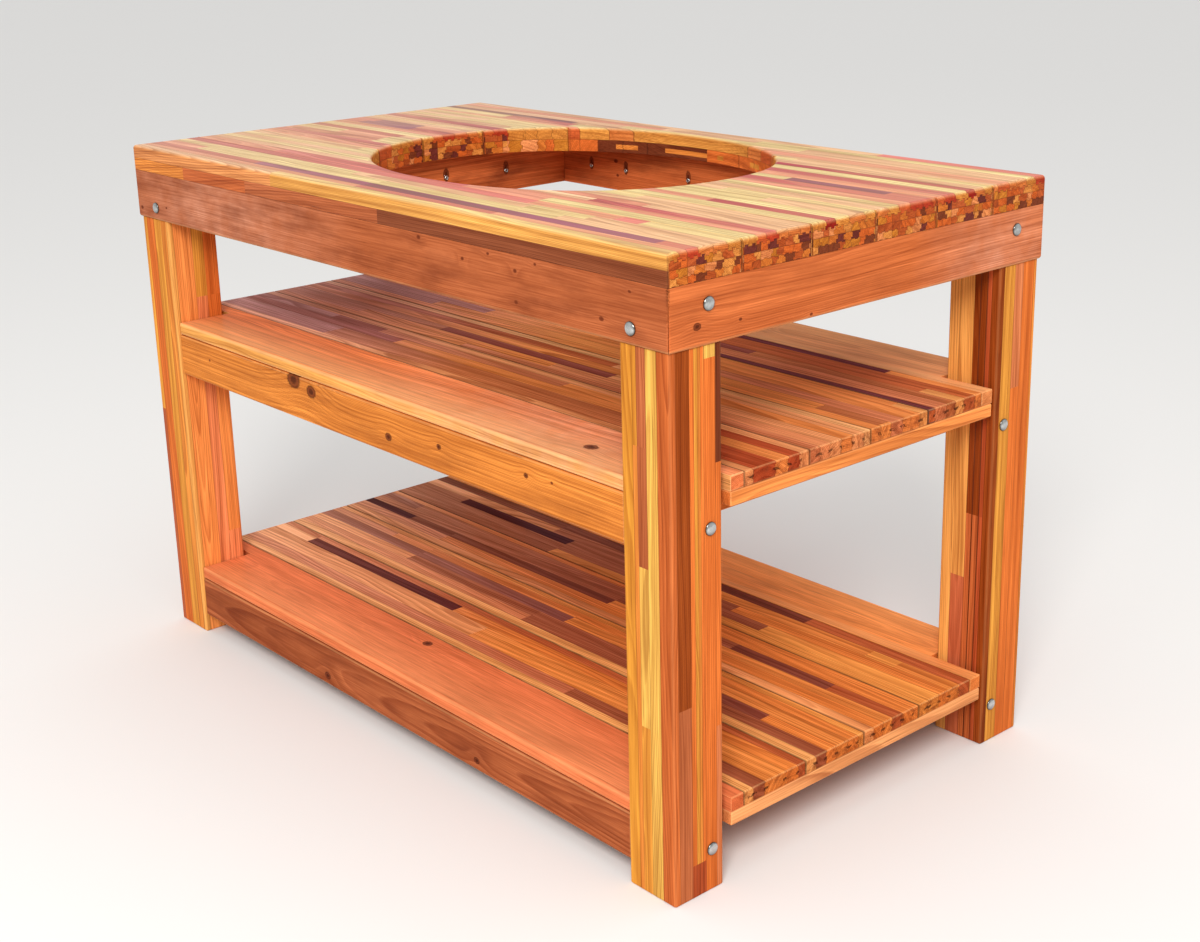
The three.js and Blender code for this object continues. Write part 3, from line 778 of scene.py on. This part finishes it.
def plank_finish(node, axes, tone, character, ring_width, figure, stain, lean=0.0, waviness=0.030,
                 knots=(), edge_tone=None, dust_and_sunlight=None, pockets=(), pocket_side=1.0, edge_wear_and_highlight=1.0):
    """The finish of a sawn redwood plank. The axes say which way it runs, and which way it is wide
    and thick. Its character says where its rings centre, across and deep, and how far they lean.
    Pockets are the holes round the screws, bored into one side of it only, painted dark as the shade
    in them. The pale patch, dust on some pieces and painted sunlight on others, has a place, a reach
    and a colour."""
    material, tree, place, facing = finish_tree(node)
    place = add(tree, "VectorMath", {0: place, 1: tuple(middle_of(node))}, operation="SUBTRACT")[0]
    parts = add(tree, "SeparateXYZ", {0: place})
    order = ["xyz".index(axis) for axis in axes]
    along, across, deep = (parts[k] for k in order)

    def mark(place_along, place_across, radius, long):
        return add(tree, "Group", {
            "Along": along, "Across": across, "Place Along": place_along, "Place Across": place_across,
            "Radius": radius, "Long": long}, node_tree=knot)

    heart = 0.0
    dark = 0.0
    push = 0.0
    for place_along, place_across, radius, long in knots:
        spot = mark(place_along, place_across, radius, long)
        heart = spot["Heart"].at_least(heart)
        dark = (spot["Dark"] * (0.45 if radius < pin_knot else 1.0)).at_least(dark)
        push = spot["Push"] + push
    for place_along, place_across in pockets:
        # Painted shade where the pocket hole is.
        pocket_shade = mark(place_along, place_across, pocket_radius, pocket_narrowness)
        bored = deep * pocket_side > 0.0
        heart = (pocket_shade["Heart"] * bored).at_least(heart)
        dark = (pocket_shade["Dark"] * bored).at_least(dark)
    smear = noise(tree, vector(tree, along * 7.0, across * 24.0), 1.0, 4.0, 0.6)
    heart = smear.mapped(0.46, 0.72, 0.0, stain).at_least(heart)
    ground = linear(stave_tones[tone])
    if edge_tone:
        ground = blend(abs(facing[order[1]]) ** 2.0, ground, linear(stave_tones[edge_tone]))
    # A pale patch: dust on the right apron, the front apron paler towards its left end, painted sunlight on
    # the middle shelf's front plank.
    if dust_and_sunlight:
        off = add(tree, "VectorMath", {0: place, 1: dust_and_sunlight[:3]}, operation="DISTANCE")["Value"]
        patchy = noise(tree, place, 38.0, 5.0)
        ground = blend(off.mapped(0.02, dust_and_sunlight[3], 0.75, 0.0) * patchy, ground, linear(dust_and_sunlight[4]))
    grain = {"Along": along, "Across": across, "Deep": deep, "Ring Width": ring_width,
             "Seed": (*character, 1.0), "Push": push, "Lean": lean, "Waviness": waviness}
    wood_surface(tree, grain, {
        "Ground": ground, "Figure": figure, "Wear And Highlight": edge_wear_and_light(tree) * edge_wear_and_highlight,
        "End": abs(facing[order[0]]) ** 2.0, "Heart": heart, "Dark": dark})
    return material


def middle_of(node):
    low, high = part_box(node)
    return (np.array(low) + np.array(high)) / 2


def apron_board(node, half_along, half_across, quarter_turns):
    """An apron board with half of each rounded corner, turned to its side of the table.

    At an inset d the corner's radius is r - d, and its arc runs from the face to the mitre."""
    low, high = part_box(node)
    arc = np.radians(np.linspace(0, 45, 5))
    angles = np.linspace(0, np.pi / 2, 6)
    levels = [(low[2] + apron_bottom_round * (1 - np.sin(a)), apron_bottom_round * (1 - np.cos(a)))
              for a in angles[::-1]]
    levels.append((high[2], 0.0))
    turn = quarter_turns * np.pi / 2
    spin = np.array([[np.cos(turn), np.sin(turn)], [-np.sin(turn), np.cos(turn)]])
    plans = []
    for height, inset in levels:
        radius = max(top_corner_round - inset, top_corner_round / 4)
        centre = np.array([half_along - inset - radius, -(half_across - inset - radius)])
        outer = centre + radius * np.stack([np.sin(arc), -np.cos(arc)], 1)
        outer[:, 0] -= mitre_gap
        inner = np.array([[half_along - apron_thickness - mitre_gap, -(half_across - apron_thickness)]])
        half = np.vstack([outer, inner])
        plan = np.vstack([half, half[::-1] * (-1, 1)])
        plans.append(np.column_stack([plan @ spin, np.full(len(plan), height)]))
    rounding_level = np.append(np.sin(2 * angles[::-1]), 0.0)
    wear_and_light = np.repeat(rounding_level[:, None], len(plans[0]), 1)
    wear_and_light[:, len(arc):len(arc) + 2] = 0
    return skin(node + "_wood", np.array(plans), wear_and_light, node)


# A pale tint for the aprons: dust at the lower back corner of the right apron, and the front apron paler
# towards its left end.
apron_pale_tint = "e2a488"
apron_ring_width = 0.0022
bearer_ring_width = 0.0018
pocket_rise = 0.005
front_marks = [(-0.658, 0.779, 0.003), (-0.570, 0.788, 0.002), (0.168, 0.838, 0.003),
               (0.268, 0.822, 0.0024), (0.325, 0.837, 0.002), (0.382, 0.822, 0.0026),
               (0.424, 0.837, 0.002), (0.382, 0.780, 0.0026), (0.552, 0.787, 0.003), (0.605, 0.830, 0.002)]
end_marks = [(-0.330, 0.789, 0.0045), (-0.255, 0.785, 0.002), (-0.125, 0.768, 0.002)]
back_marks = [(-0.240, 0.815, 0.0034), (-0.236, 0.789, 0.0026)]
left_marks = [(0.120, 0.800, 0.0035)]
apron_pockets = [(-0.308, 0.800), (-0.213, 0.800), (-0.050, 0.800), (0.150, 0.800), (0.300, 0.800)]
aprons = [
    ("apron_front", "xzy", "russet", (0.62, 0.30, 0.38), (-0.42, 0.0, 0.0, 0.45, apron_pale_tint), front_marks),
    ("apron_right", "yzx", "copper", (0.97, 0.80, 0.53), (0.0, 0.27, -0.035, 0.20, apron_pale_tint), end_marks),
    ("apron_back", "xzy", "copper", (0.95, 0.66, 0.44), None, back_marks),
    ("apron_left", "yzx", "copper", (0.45, 0.50, 0.54), None, left_marks),
]
for quarter_turns, (node, axes, tone, character, dust_and_sunlight, marks) in enumerate(aprons):
    is_long = axes == "xzy"
    board = apron_board(node, *((half_length, half_depth) if is_long else (half_depth, half_length)),
                        quarter_turns)
    height = middle_of(node)[2]
    knots = [(a, z - height, radius, 1.4) for a, z, radius in marks]
    pockets = [(x, z - height + pocket_rise) for x, z in apron_pockets] if is_long else []
    board.data.materials.append(plank_finish(
        node, axes, tone, character, apron_ring_width, 0.32, 0.35 if node == "apron_right" else 0.70,
        knots=knots, dust_and_sunlight=dust_and_sunlight, pockets=pockets, pocket_side=1.0 if node == "apron_front" else -1.0))


def box_corners(node):
    (x0, y0, _), (x1, y1, _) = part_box(node)
    return [(x0, y0), (x1, y0), (x1, y1), (x0, y1)]


def bar(node, edge):
    """A straight bar with the same small round along all its edges, filling its node's box."""
    return eased_slab(node, box_corners(node), [edge] * 4, edge, edge)


bearer_ease = 0.0015
bearer_pockets = [(0.077, 0.803), (0.213, 0.800), (-0.205, 0.803)]
bearers = [("bearer_left", (0.96, 0.60, 0.42), 1.0), ("bearer_right", (0.04, 0.65, 0.58), -1.0)]
for node, character, side in bearers:
    bearer = bar(node, bearer_ease)
    pockets = [(y, z - middle_of(node)[2] + pocket_rise) for y, z in bearer_pockets]
    bearer.data.materials.append(plank_finish(
        node, "yzx", "copper", character, bearer_ring_width, 0.35, 0.85, pockets=pockets,
        pocket_side=side))


# The legs
# Square posts glued up from long staves, each cut from different boards. The outer two sides are
# rebated at the head, so that the apron boards lie on them and are bolted through.
leg_ease = 0.004
foot_ease = 0.003
rebate = 0.020
shoulder_gap = 0.0003
leg_height = 0.844
leg_ring_width = 0.0030

leg_staves = {
    # On this leg's end faces, the umber above 605 mm in the last row is painted shade, standing for a
    # shaded recess in the real leg.
    "leg_front_right": ("""
        22 honey
        8 amber 630 honey
        17 gold 245 cream 470 russet
        20 cream
        23 rust""", """
        10 rust
        23 russet 283 brown
        8 red 48 orange
        6 red 48 gold
        5 red 48 amber
        6 red 48 orange
        20 orange 745 cream 762 orange
        12 salmon 240 orange 605 umber"""),
    "leg_front_left": ("""
        14 rose 412 gold
        26 orange
        24 gold
        18 amber
        8 straw""", """
        8 straw
        34 flame
        21 coral 622 gold
        27 coral 180 flame 560 orange"""),
    "leg_back_right": ("""
        21 straw
        25 rose 270 straw
        10 copper 375 brown
        1.8 umber
        10 copper 375 brown
        1.5 umber
        7 red
        13.7 brown""", """
        11 brown
        25 gold
        20 orange 573 salmon
        26 orange
        8 amber"""),
    "leg_back_left": ("""
        26 orange 510 gold
        22 amber
        18 brown 330 red
        24 orange""", """
        30 amber
        22 red 400 orange
        38 gold"""),
}


def leg_finish(node):
    """One set of rows shows on the front and back, and another one on the two ends."""
    by_length, by_depth = (cut_list(text) for text in leg_staves[node])
    low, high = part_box(node)
    material, tree, place, facing = finish_tree(node)
    x, y, z = add(tree, "SeparateXYZ", {0: place})
    faces, faces_seed, faces_joint = glue_up(tree, z, x, 0.0, leg_height, low[0], by_length)
    sides, sides_seed, sides_joint = glue_up(tree, z, y, 0.0, leg_height, low[1], by_depth)
    outer = abs(facing[1]) > abs(facing[0])
    grain = {"Along": z, "Across": x - (low[0] + high[0]) / 2, "Deep": y - (low[1] + high[1]) / 2,
             "Ring Width": leg_ring_width, "Seed": blend(outer, sides_seed, faces_seed), "Waviness": 0.038}
    wood_surface(tree, grain, {
        "Ground": blend(outer, sides, faces), "Figure": 0.46, "Wear And Highlight": edge_wear_and_light(tree) * 0.3,
        "End": abs(facing[2]) ** 2.0, "Joint": choose(outer, sides_joint, faces_joint)})
    return material


for node in leg_staves:
    low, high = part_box(node)
    outward = np.array(["front" in node, "right" in node, "back" in node, "left" in node], dtype=float)
    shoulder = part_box("apron_front")[0][2] - shoulder_gap
    angles = np.linspace(np.pi / 2, 0, 5)
    heights = [np.full(4, low[2] + foot_ease * (1 - np.sin(a))) for a in angles]
    insets = [np.full(4, foot_ease * (1 - np.cos(a))) for a in angles]
    heights += [np.full(4, shoulder), np.full(4, shoulder), np.full(4, high[2])]
    insets += [np.zeros(4), outward * rebate, outward * rebate]
    rounding_level = [*np.sin(2 * angles), 0.0, 0.0, 0.0]
    leg = stack(node, box_corners(node), [leg_ease] * 4, heights, insets, rounding_level)
    leg.data.materials.append(leg_finish(node))


# The shelves
# Each shelf is six boards on a frame. The four in the middle are glued up from narrow staves, and
# the front and back ones are planks, notched round the legs and rounded along their free edge.
shelf_nose = 0.006
shelf_ease = 0.0012
shelf_end_ease = 0.0025
notch_ease = 0.0008
notch_end = 0.577
notch_depth = 0.272
shelf_half = 0.672
shelf_tongue = 0.0015
glue_line_height = 0.011
glue_line_reach = 0.0020
shelf_ring_width = 0.0022
plank_ring_width = 0.0026
plank_ease = 0.001
sky_light_start = -0.66

shelf_tones = tone_list("""
    cream f2ac66 gold ee9c4c amber ec9248 tan eb9c60 orange e88840 salmon e08c5c rose cf7a54
    red c4663a brown ae6242 umber 864432 wine 64292c ebony 50202c plum 9a5a50""")
# Brighter copies of the shelf tones for the middle shelf, which lies in the top's shade: painted sunlight.
sunny_tones = tone_list("""
    cream f6b678 gold f2a862 amber f39a52 tan f3a56c orange f09450 salmon ee9a66 rose da8459
    red cc6c3e brown c87648 brick b8522f umber a6584a ebony 7c3c40 plum bc7c76""")
shelf_rows = {
    "mid_shelf_board_2": """
        15.3 tan
        42 plum -340 brown 520 brick
        25 umber -195 orange
        22 plum -420 umber -275 rose 200 orange 500 brick
        20 tan""",
    "mid_shelf_board_3": """
        19 orange -100 rose
        21 rose -425 orange 100 salmon
        22 brown -210 umber 220 tan
        23 orange
        23 red 175 tan
        16 cream""",
    "mid_shelf_board_4": """
        20 orange
        22 plum -375 amber 550 brown 665 amber
        26 plum -250 orange 300 rose
        37 orange
        19 orange 615 gold""",
    "mid_shelf_board_5": """
        14 red 200 ebony 670 red
        27 rose
        20 umber 275 brown
        20 red 600 gold
        25 red
        17 ebony 500 orange""",
    "low_shelf_board_2": """
        17 cream
        23 rose 270 brown
        42 tan 0 amber
        25 tan -560 wine -100 orange
        18 red""",
    "low_shelf_board_3": """
        20 cream
        22 salmon 10 brown
        22 tan -355 brown 300 umber 540 orange
        24 plum 65 amber
        22 rose -470 orange
        14 gold""",
    "low_shelf_board_4": """
        20 tan
        22 rose -390 orange
        20 ebony -520 umber 60 amber
        22 brown 335 umber 540 red
        26 plum -560 brown 150 orange
        14 orange""",
    "low_shelf_board_5": """
        22 brown -195 gold
        25 brown 320 gold
        24 brown -525 ebony -200 brown 230 orange
        25 tan -270 brown 100 amber 500 gold 560 amber
        28 umber 350 red""",
}
# Painted sky light on each shelf: where it stops towards the right, how strongly it pales the wood, and its
# tint.
shelf_sky_light = {"mid": (0.02, 0.55, "e6b8b4"), "low": (0.10, 0.50, "f6c09c")}


def glued_shelf_finish(node, rows, tones):
    """Rows of staves across a shelf board, with tongued joints where the ends show them. The wood
    is paler towards the left, where the open sky lights it."""
    low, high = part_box(node)
    width = high[1] - low[1]
    material, tree, place, facing = finish_tree(node)
    x, y, z = add(tree, "SeparateXYZ", {0: place})
    deep = z - low[2]
    local = y - low[1]
    stepped = add(tree, "Group", {"Across": local, "Deep": deep, "Tongue": shelf_tongue},
                  node_tree=glue_tongues)
    colour, seed, joint = glue_up(tree, x, stepped["Across"], -shelf_half, shelf_half, 0.0, rows, tones)
    sky_light_end, sky_light_share, sky_light_tint = shelf_sky_light[node[:3]]
    lightness = (add(tree, "RGBToBW", {0: colour})[0] * 4.0).at_most(1.0)
    colour = blend(x.mapped(sky_light_start, sky_light_end, sky_light_share, 0.0) * lightness, colour, linear(sky_light_tint))
    end = abs(facing[0]) ** 2.0
    near_middle = abs(stepped["Deep"] - glue_line_height) < glue_line_reach
    widest = noise(tree, place, 150.0, 2.0).times_plus(0.030, -0.0115)
    pit = (joint < widest) * near_middle * (end * 0.75)
    seam = local.at_most(width - local).mapped(0.0004, 0.0020, 0.6, 0.0)
    soaked = noise(tree, place, 85.0, 4.0, 0.7).mapped(0.48, 0.62, 0.0, 0.6) * end
    grain = {"Along": x, "Across": local - width / 2, "Deep": deep, "Seed": seed,
             "Ring Width": shelf_ring_width}
    wood_surface(tree, grain, {
        "Ground": colour, "Figure": 0.6, "Wear And Highlight": edge_wear_and_light(tree), "End": end, "Joint": joint,
        "Dark": pit.at_least(seam), "Heart": soaked}, gloss=0.0)
    return material


for node, text in shelf_rows.items():
    rounds = [shelf_ease, shelf_end_ease] * 2
    board = eased_slab(node, box_corners(node), [shelf_ease] * 4, rounds, rounds)
    tones = sunny_tones if "mid" in node else shelf_tones
    board.data.materials.append(glued_shelf_finish(node, cut_list(text), tones))


def notched_plank(node, hand):
    """The front (hand -1) or back plank: full length behind the legs, shorter between them."""
    low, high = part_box(node)
    outer, inner = (low[1], high[1]) if hand < 0 else (high[1], low[1])
    notch = hand * notch_depth
    corners = [(-notch_end, outer), (notch_end, outer), (notch_end, notch), (shelf_half, notch),
               (shelf_half, inner), (-shelf_half, inner), (-shelf_half, notch), (-notch_end, notch)]
    rounds = [shelf_nose, notch_ease, notch_ease, shelf_end_ease, shelf_ease, shelf_end_ease, notch_ease,
              notch_ease]
    if hand > 0:
        corners = corners[::-1]
        rounds = rounds[-2::-1] + rounds[-1:]
    return eased_slab(node, corners, [plank_ease] * 8, rounds, rounds, steps=5)


planks = [
    ("mid_shelf_board_1", -1, "sunset", "straw", (0.97, 0.50, 0.42), 0.020, 0.42, (0.458, -0.320, 0.0085)),
    ("mid_shelf_board_6", 1, "peach", "peach", (0.46, 0.40, 0.56), 0.012, 0.20, (0.180, 0.300, 0.006)),
    ("low_shelf_board_1", -1, "blush", "blush", (0.56, 0.34, 0.58), -0.015, 0.12, (-0.020, -0.272, 0.0070)),
    ("low_shelf_board_6", 1, "flame", "amber", (0.42, 0.38, 0.42), 0.020, 0.22, (-0.420, 0.330, 0.005)),
]
# Painted sunlight on the middle shelf's front plank: a pale patch, and a stronger painted highlight along
# its nose.
sunlit = {"mid_shelf_board_1": {"dust_and_sunlight": (0.40, 0.0, 0.0, 0.52, "fcbc98"), "edge_wear_and_highlight": 2.4}}
for node, hand, tone, edge_tone, character, lean, figure, (x, y, radius) in planks:
    board = notched_plank(node, hand)
    knots = [(x, y - middle_of(node)[1], radius, 1.3)]
    board.data.materials.append(plank_finish(
        node, "xyz", tone, character, plank_ring_width, figure, 0.2, lean, 0.05, knots, edge_tone,
        **sunlit.get(node, {})))


# The shelf frames
# Under each shelf, two long rails and two end rails stand on edge between the legs, and a flat
# batten carries the board ends.
rail_ease = 0.003
batten_ease = 0.002
rail_knots = {
    "mid_rail_front": [(-0.209, 0.555, 0.0135), (-0.158, 0.545, 0.0095), (0.052, 0.518, 0.006),
                       (0.180, 0.532, 0.004), (0.380, 0.537, 0.0035), (0.435, 0.540, 0.0020),
                       (-0.480, 0.535, 0.002)],
    "mid_rail_back": [(0.100, 0.530, 0.004)],
    "low_rail_front": [(-0.172, 0.050, 0.006), (0.235, 0.050, 0.005)],
    "low_rail_back": [(-0.200, 0.070, 0.004)],
}
timbers = [
    ("mid_rail_front", "amber", (0.97, 0.62, 0.47), 0.0014, 0.004),
    ("mid_rail_back", "orange", (0.42, 0.22, 0.56), 0.0040, 0.020),
    ("mid_end_rail_left", "orange", (0.55, 0.25, 0.40), 0.0035, 0.020),
    ("mid_end_rail_right", "orange", (0.46, 0.30, 0.62), 0.0035, -0.020),
    ("mid_end_batten_left", "amber", (0.50, 0.25, 0.48), 0.0030, 0.010),
    ("mid_end_batten_right", "flame", (0.40, 0.30, 0.52), 0.0030, 0.010),
    ("low_rail_front", "russet", (0.50, 0.44, 0.50), 0.0060, -0.045),
    ("low_rail_back", "orange", (0.47, 0.20, 0.60), 0.0045, 0.030),
    ("low_end_rail_left", "orange", (0.53, 0.22, 0.58), 0.0035, 0.015),
    ("low_end_rail_right", "orange", (0.43, 0.28, 0.40), 0.0035, -0.020),
    ("low_end_batten_left", "amber", (0.48, 0.28, 0.52), 0.0030, 0.010),
    ("low_end_batten_right", "peach", (0.52, 0.22, 0.46), 0.0030, 0.010),
]
for node, tone, character, ring_width, lean in timbers:
    timber = bar(node, batten_ease if "batten" in node else rail_ease)
    knots = [(a, z - middle_of(node)[2], radius, 1.3) for a, z, radius in rail_knots.get(node, ())]
    stain = {"low_rail_front": 0.5, "mid_rail_front": 0.3}.get(node, 0.1)
    waviness = 0.016 if node == "mid_rail_front" else 0.045
    axes = "yzx" if "end" in node else "xzy"
    timber.data.materials.append(plank_finish(
        node, axes, tone, character, ring_width, 0.55, stain, lean, waviness, knots))


# The bolts
# Plated carriage bolts: a domed head outside, and a washer and a hexagonal nut inside. Two hold
# each end of the apron to the leg, and two more tie each leg to the end rail of a shelf.
bolt_shank = 0.00395
bolt_head = 0.0093
bolt_head_height = 0.0044
bolt_head_rim = 0.001
washer_radius = 0.010
washer_thickness = 0.0018
nut_flat = 0.00635
nut_height = 0.0068
nut_slope_height = 0.0010
nut_slope_reach = 0.0009
nut_shoulder = 0.0014
nut_ease = 0.0004
thread_pitch = 0.00125
thread_depth = 0.0007
thread_start = 0.0010
past_nut = 0.003
point_height = 0.0008
point_radius = 0.00275
rim_ease = 0.0003
head_ease = 0.0004
bolt_turns = 48


def around(spot, outward, height, radius, angle):
    """Points at a height and a radius round an axis that leads outward from a spot."""
    axis = np.array([*outward, 0.0])
    sideways = np.array([-outward[1], outward[0], 0.0])
    upward = np.array([0.0, 0.0, 1.0])
    return (np.array(spot) + height[..., None] * axis + (radius * np.cos(angle))[..., None] * sideways
            + (radius * np.sin(angle))[..., None] * upward)


def bolt_rings(grip):
    """A bolt along its own axis, from its threaded end to the crown of its head.

    Each ring has a height and a radius for every angle. The thread's radius falls and rises once
    for each turn, and the nut's is the flat distance over the cosine to the nearest flat."""
    turn = np.linspace(0, 2 * np.pi, bolt_turns, endpoint=False)
    inner = -grip - rim_ease
    nut_inner = inner - washer_thickness
    nut_end = nut_inner - nut_height
    tip = nut_end - past_nut
    rings = [(tip, point_radius), (tip + point_height, bolt_shank - rim_ease)]
    for height in np.arange(tip + thread_start, nut_end - 0.0001, thread_pitch / 6):
        phase = np.mod(height / thread_pitch - turn / (2 * np.pi), 1.0)
        rings.append((height, bolt_shank - thread_depth * np.abs(2 * phase - 1)))
    hexagon = nut_flat / np.cos(np.mod(turn, np.pi / 3) - np.pi / 6)
    slope = nut_flat * 1.02
    rings += [(nut_end, bolt_shank), (nut_end, np.minimum(hexagon, slope)),
              (nut_end + nut_slope_height, np.minimum(hexagon, slope + nut_slope_reach)),
              (nut_end + nut_shoulder, hexagon), (nut_inner - nut_ease, hexagon),
              (nut_inner, hexagon * 0.97), (nut_inner, washer_radius - rim_ease),
              (nut_inner + rim_ease, washer_radius), (inner - rim_ease, washer_radius),
              (inner, washer_radius - rim_ease), (inner, bolt_shank), (rim_ease, bolt_shank),
              (rim_ease, bolt_head - head_ease), (rim_ease * 2, bolt_head),
              (rim_ease + bolt_head_rim, bolt_head)]
    for angle in np.linspace(0.12, 1.5, 12):
        dome = (bolt_head_height - bolt_head_rim) * np.sin(angle)
        rings.append((rim_ease + bolt_head_rim + dome, bolt_head * np.cos(angle)))
    heights = np.array([height for height, _ in rings])[:, None]
    return turn, heights, np.array([np.broadcast_to(radius, bolt_turns) for _, radius in rings])


dull_steel = "9c9e9d"
bright_steel = "eef0ef"
# Painted shade for the steel: on the downward-facing side, in a ring at the bolt heads' rim, and in the
# screws' cross recesses.
steel_shade = "34322e"
scuff_relief = 0.00015
steel = bpy.data.materials.new("plated_steel")
tree = bare_tree(steel)
place = add(tree, "TexCoord")["Object"]
scuffs = noise(tree, place, 900.0, 4.0, 0.6)
tone = add(tree, "ValToRGB", {"Fac": noise(tree, place, 180.0, 3.0)})
for mark, colour in zip(tone.node.color_ramp.elements, (dull_steel, bright_steel)):
    mark.color = linear(colour)
# Painted shade: darker on faces that look down, and where the mesh attribute marks a rim or recess.
upward = add(tree, "SeparateXYZ", {0: add(tree, "TexCoord")["Normal"]})[2]
painted_shade = (edge_wear_and_light(tree) * 0.8).at_least(upward.mapped(-0.60, 0.05, 0.85, 0.0))
bump = add(tree, "Bump", {"Height": scuffs, "Distance": scuff_relief, "Strength": 0.3})
shine(tree, {"Base Color": blend(painted_shade, tone[0], linear(steel_shade)), "Metallic": 1.0,
             "Roughness": scuffs.mapped(0.3, 0.7, 0.16, 0.30), "Normal": bump[0]})

apron_grip = 0.094
leg_grip = 0.1283
bolts = [
    ("bolt_apron_end_", apron_grip, (1, 0), (0.673, 0.311, 0.815)),
    ("bolt_apron_side_", apron_grip, (0, 1), (0.606, 0.378, 0.784)),
    ("bolt_leg_mid_", leg_grip, (1, 0), (0.669, 0.306, 0.521)),
    ("bolt_leg_low_", leg_grip, (1, 0), (0.669, 0.306, 0.063)),
]
for side_x, side_y in ((-1, -1), (-1, 1), (1, -1), (1, 1)):
    corner = ("front" if side_y < 0 else "back") + "_" + ("left" if side_x < 0 else "right")
    for key, grip, (out_x, out_y), (x, y, z) in bolts:
        turn, heights, radii = bolt_rings(grip)
        points = around((side_x * x, side_y * y, z), (side_x * out_x, side_y * out_y), heights, radii, turn)
        # Painted shade in a ring where the bolt head meets the wood.
        rim = np.exp(-((radii - bolt_head) / 0.0014) ** 2) * (heights > 0)
        bolt = skin(key + corner + "_steel", points, rim, key + corner)
        bolt.data.materials.append(steel)


# The pocket screws
# Pan-head wood screws with a cross recess, driven from inside the apron and the bearers up into
# the top. Their heads show on the inner faces, beside the cut-out.
screw_head = 0.0042
screw_height = 0.0022
screw_sink = 0.0004
screw_wall_share = 0.35
recess_depth = 0.0014
recess_width = 0.0007
recess_reach = 0.0024
recess_slope = 0.0003
screw_rings = 14


def pan_head(name, spot, outward):
    """A domed head over a polar grid. The height falls from the crown to its wall as a quarter
    ellipse, and the cross is sunk where either of its arms covers the place."""
    turn = np.linspace(0, 2 * np.pi, bolt_turns, endpoint=False)
    share = np.sin(np.linspace(np.pi / 2, 0.06, screw_rings))
    radius, angle = np.meshgrid(share * screw_head, turn, indexing="ij")
    dome = np.sqrt(np.maximum(1 - (radius / screw_head) ** 2, 0))
    height = screw_height * (screw_wall_share + (1 - screw_wall_share) * dome)
    along, across = np.abs(radius * np.cos(angle)), np.abs(radius * np.sin(angle))
    near, far = np.minimum(along, across), np.maximum(along, across)
    inside = (np.clip((recess_width - near) / recess_slope + 0.5, 0, 1)
              * np.clip((recess_reach - far) / recess_slope + 0.5, 0, 1))
    height -= recess_depth * inside
    radius = np.vstack([radius[:1], radius])
    angle = np.vstack([angle[:1], angle])
    height = np.vstack([np.full((1, bolt_turns), -screw_sink), height])
    # Painted shade in the cross recess and the sunk ring.
    painted_shade = np.vstack([np.ones((1, bolt_turns)), inside])
    screw = skin(name, around(spot, outward, height, radius, angle), painted_shade, slot="bolt_steel")
    screw.data.materials.append(steel)


inner_x = 0.386
inner_y = 0.354
for k, (y, z) in enumerate(bearer_pockets):
    pan_head("pocket_screw_left_%d" % k, (-inner_x, y, z), (1, 0))
    pan_head("pocket_screw_right_%d" % k, (inner_x, y, z), (-1, 0))
for k, (x, z) in enumerate(apron_pockets):
    pan_head("pocket_screw_back_%d" % k, (x, inner_y, z), (0, -1))
    pan_head("pocket_screw_front_%d" % k, (x, -inner_y, z), (0, 1))
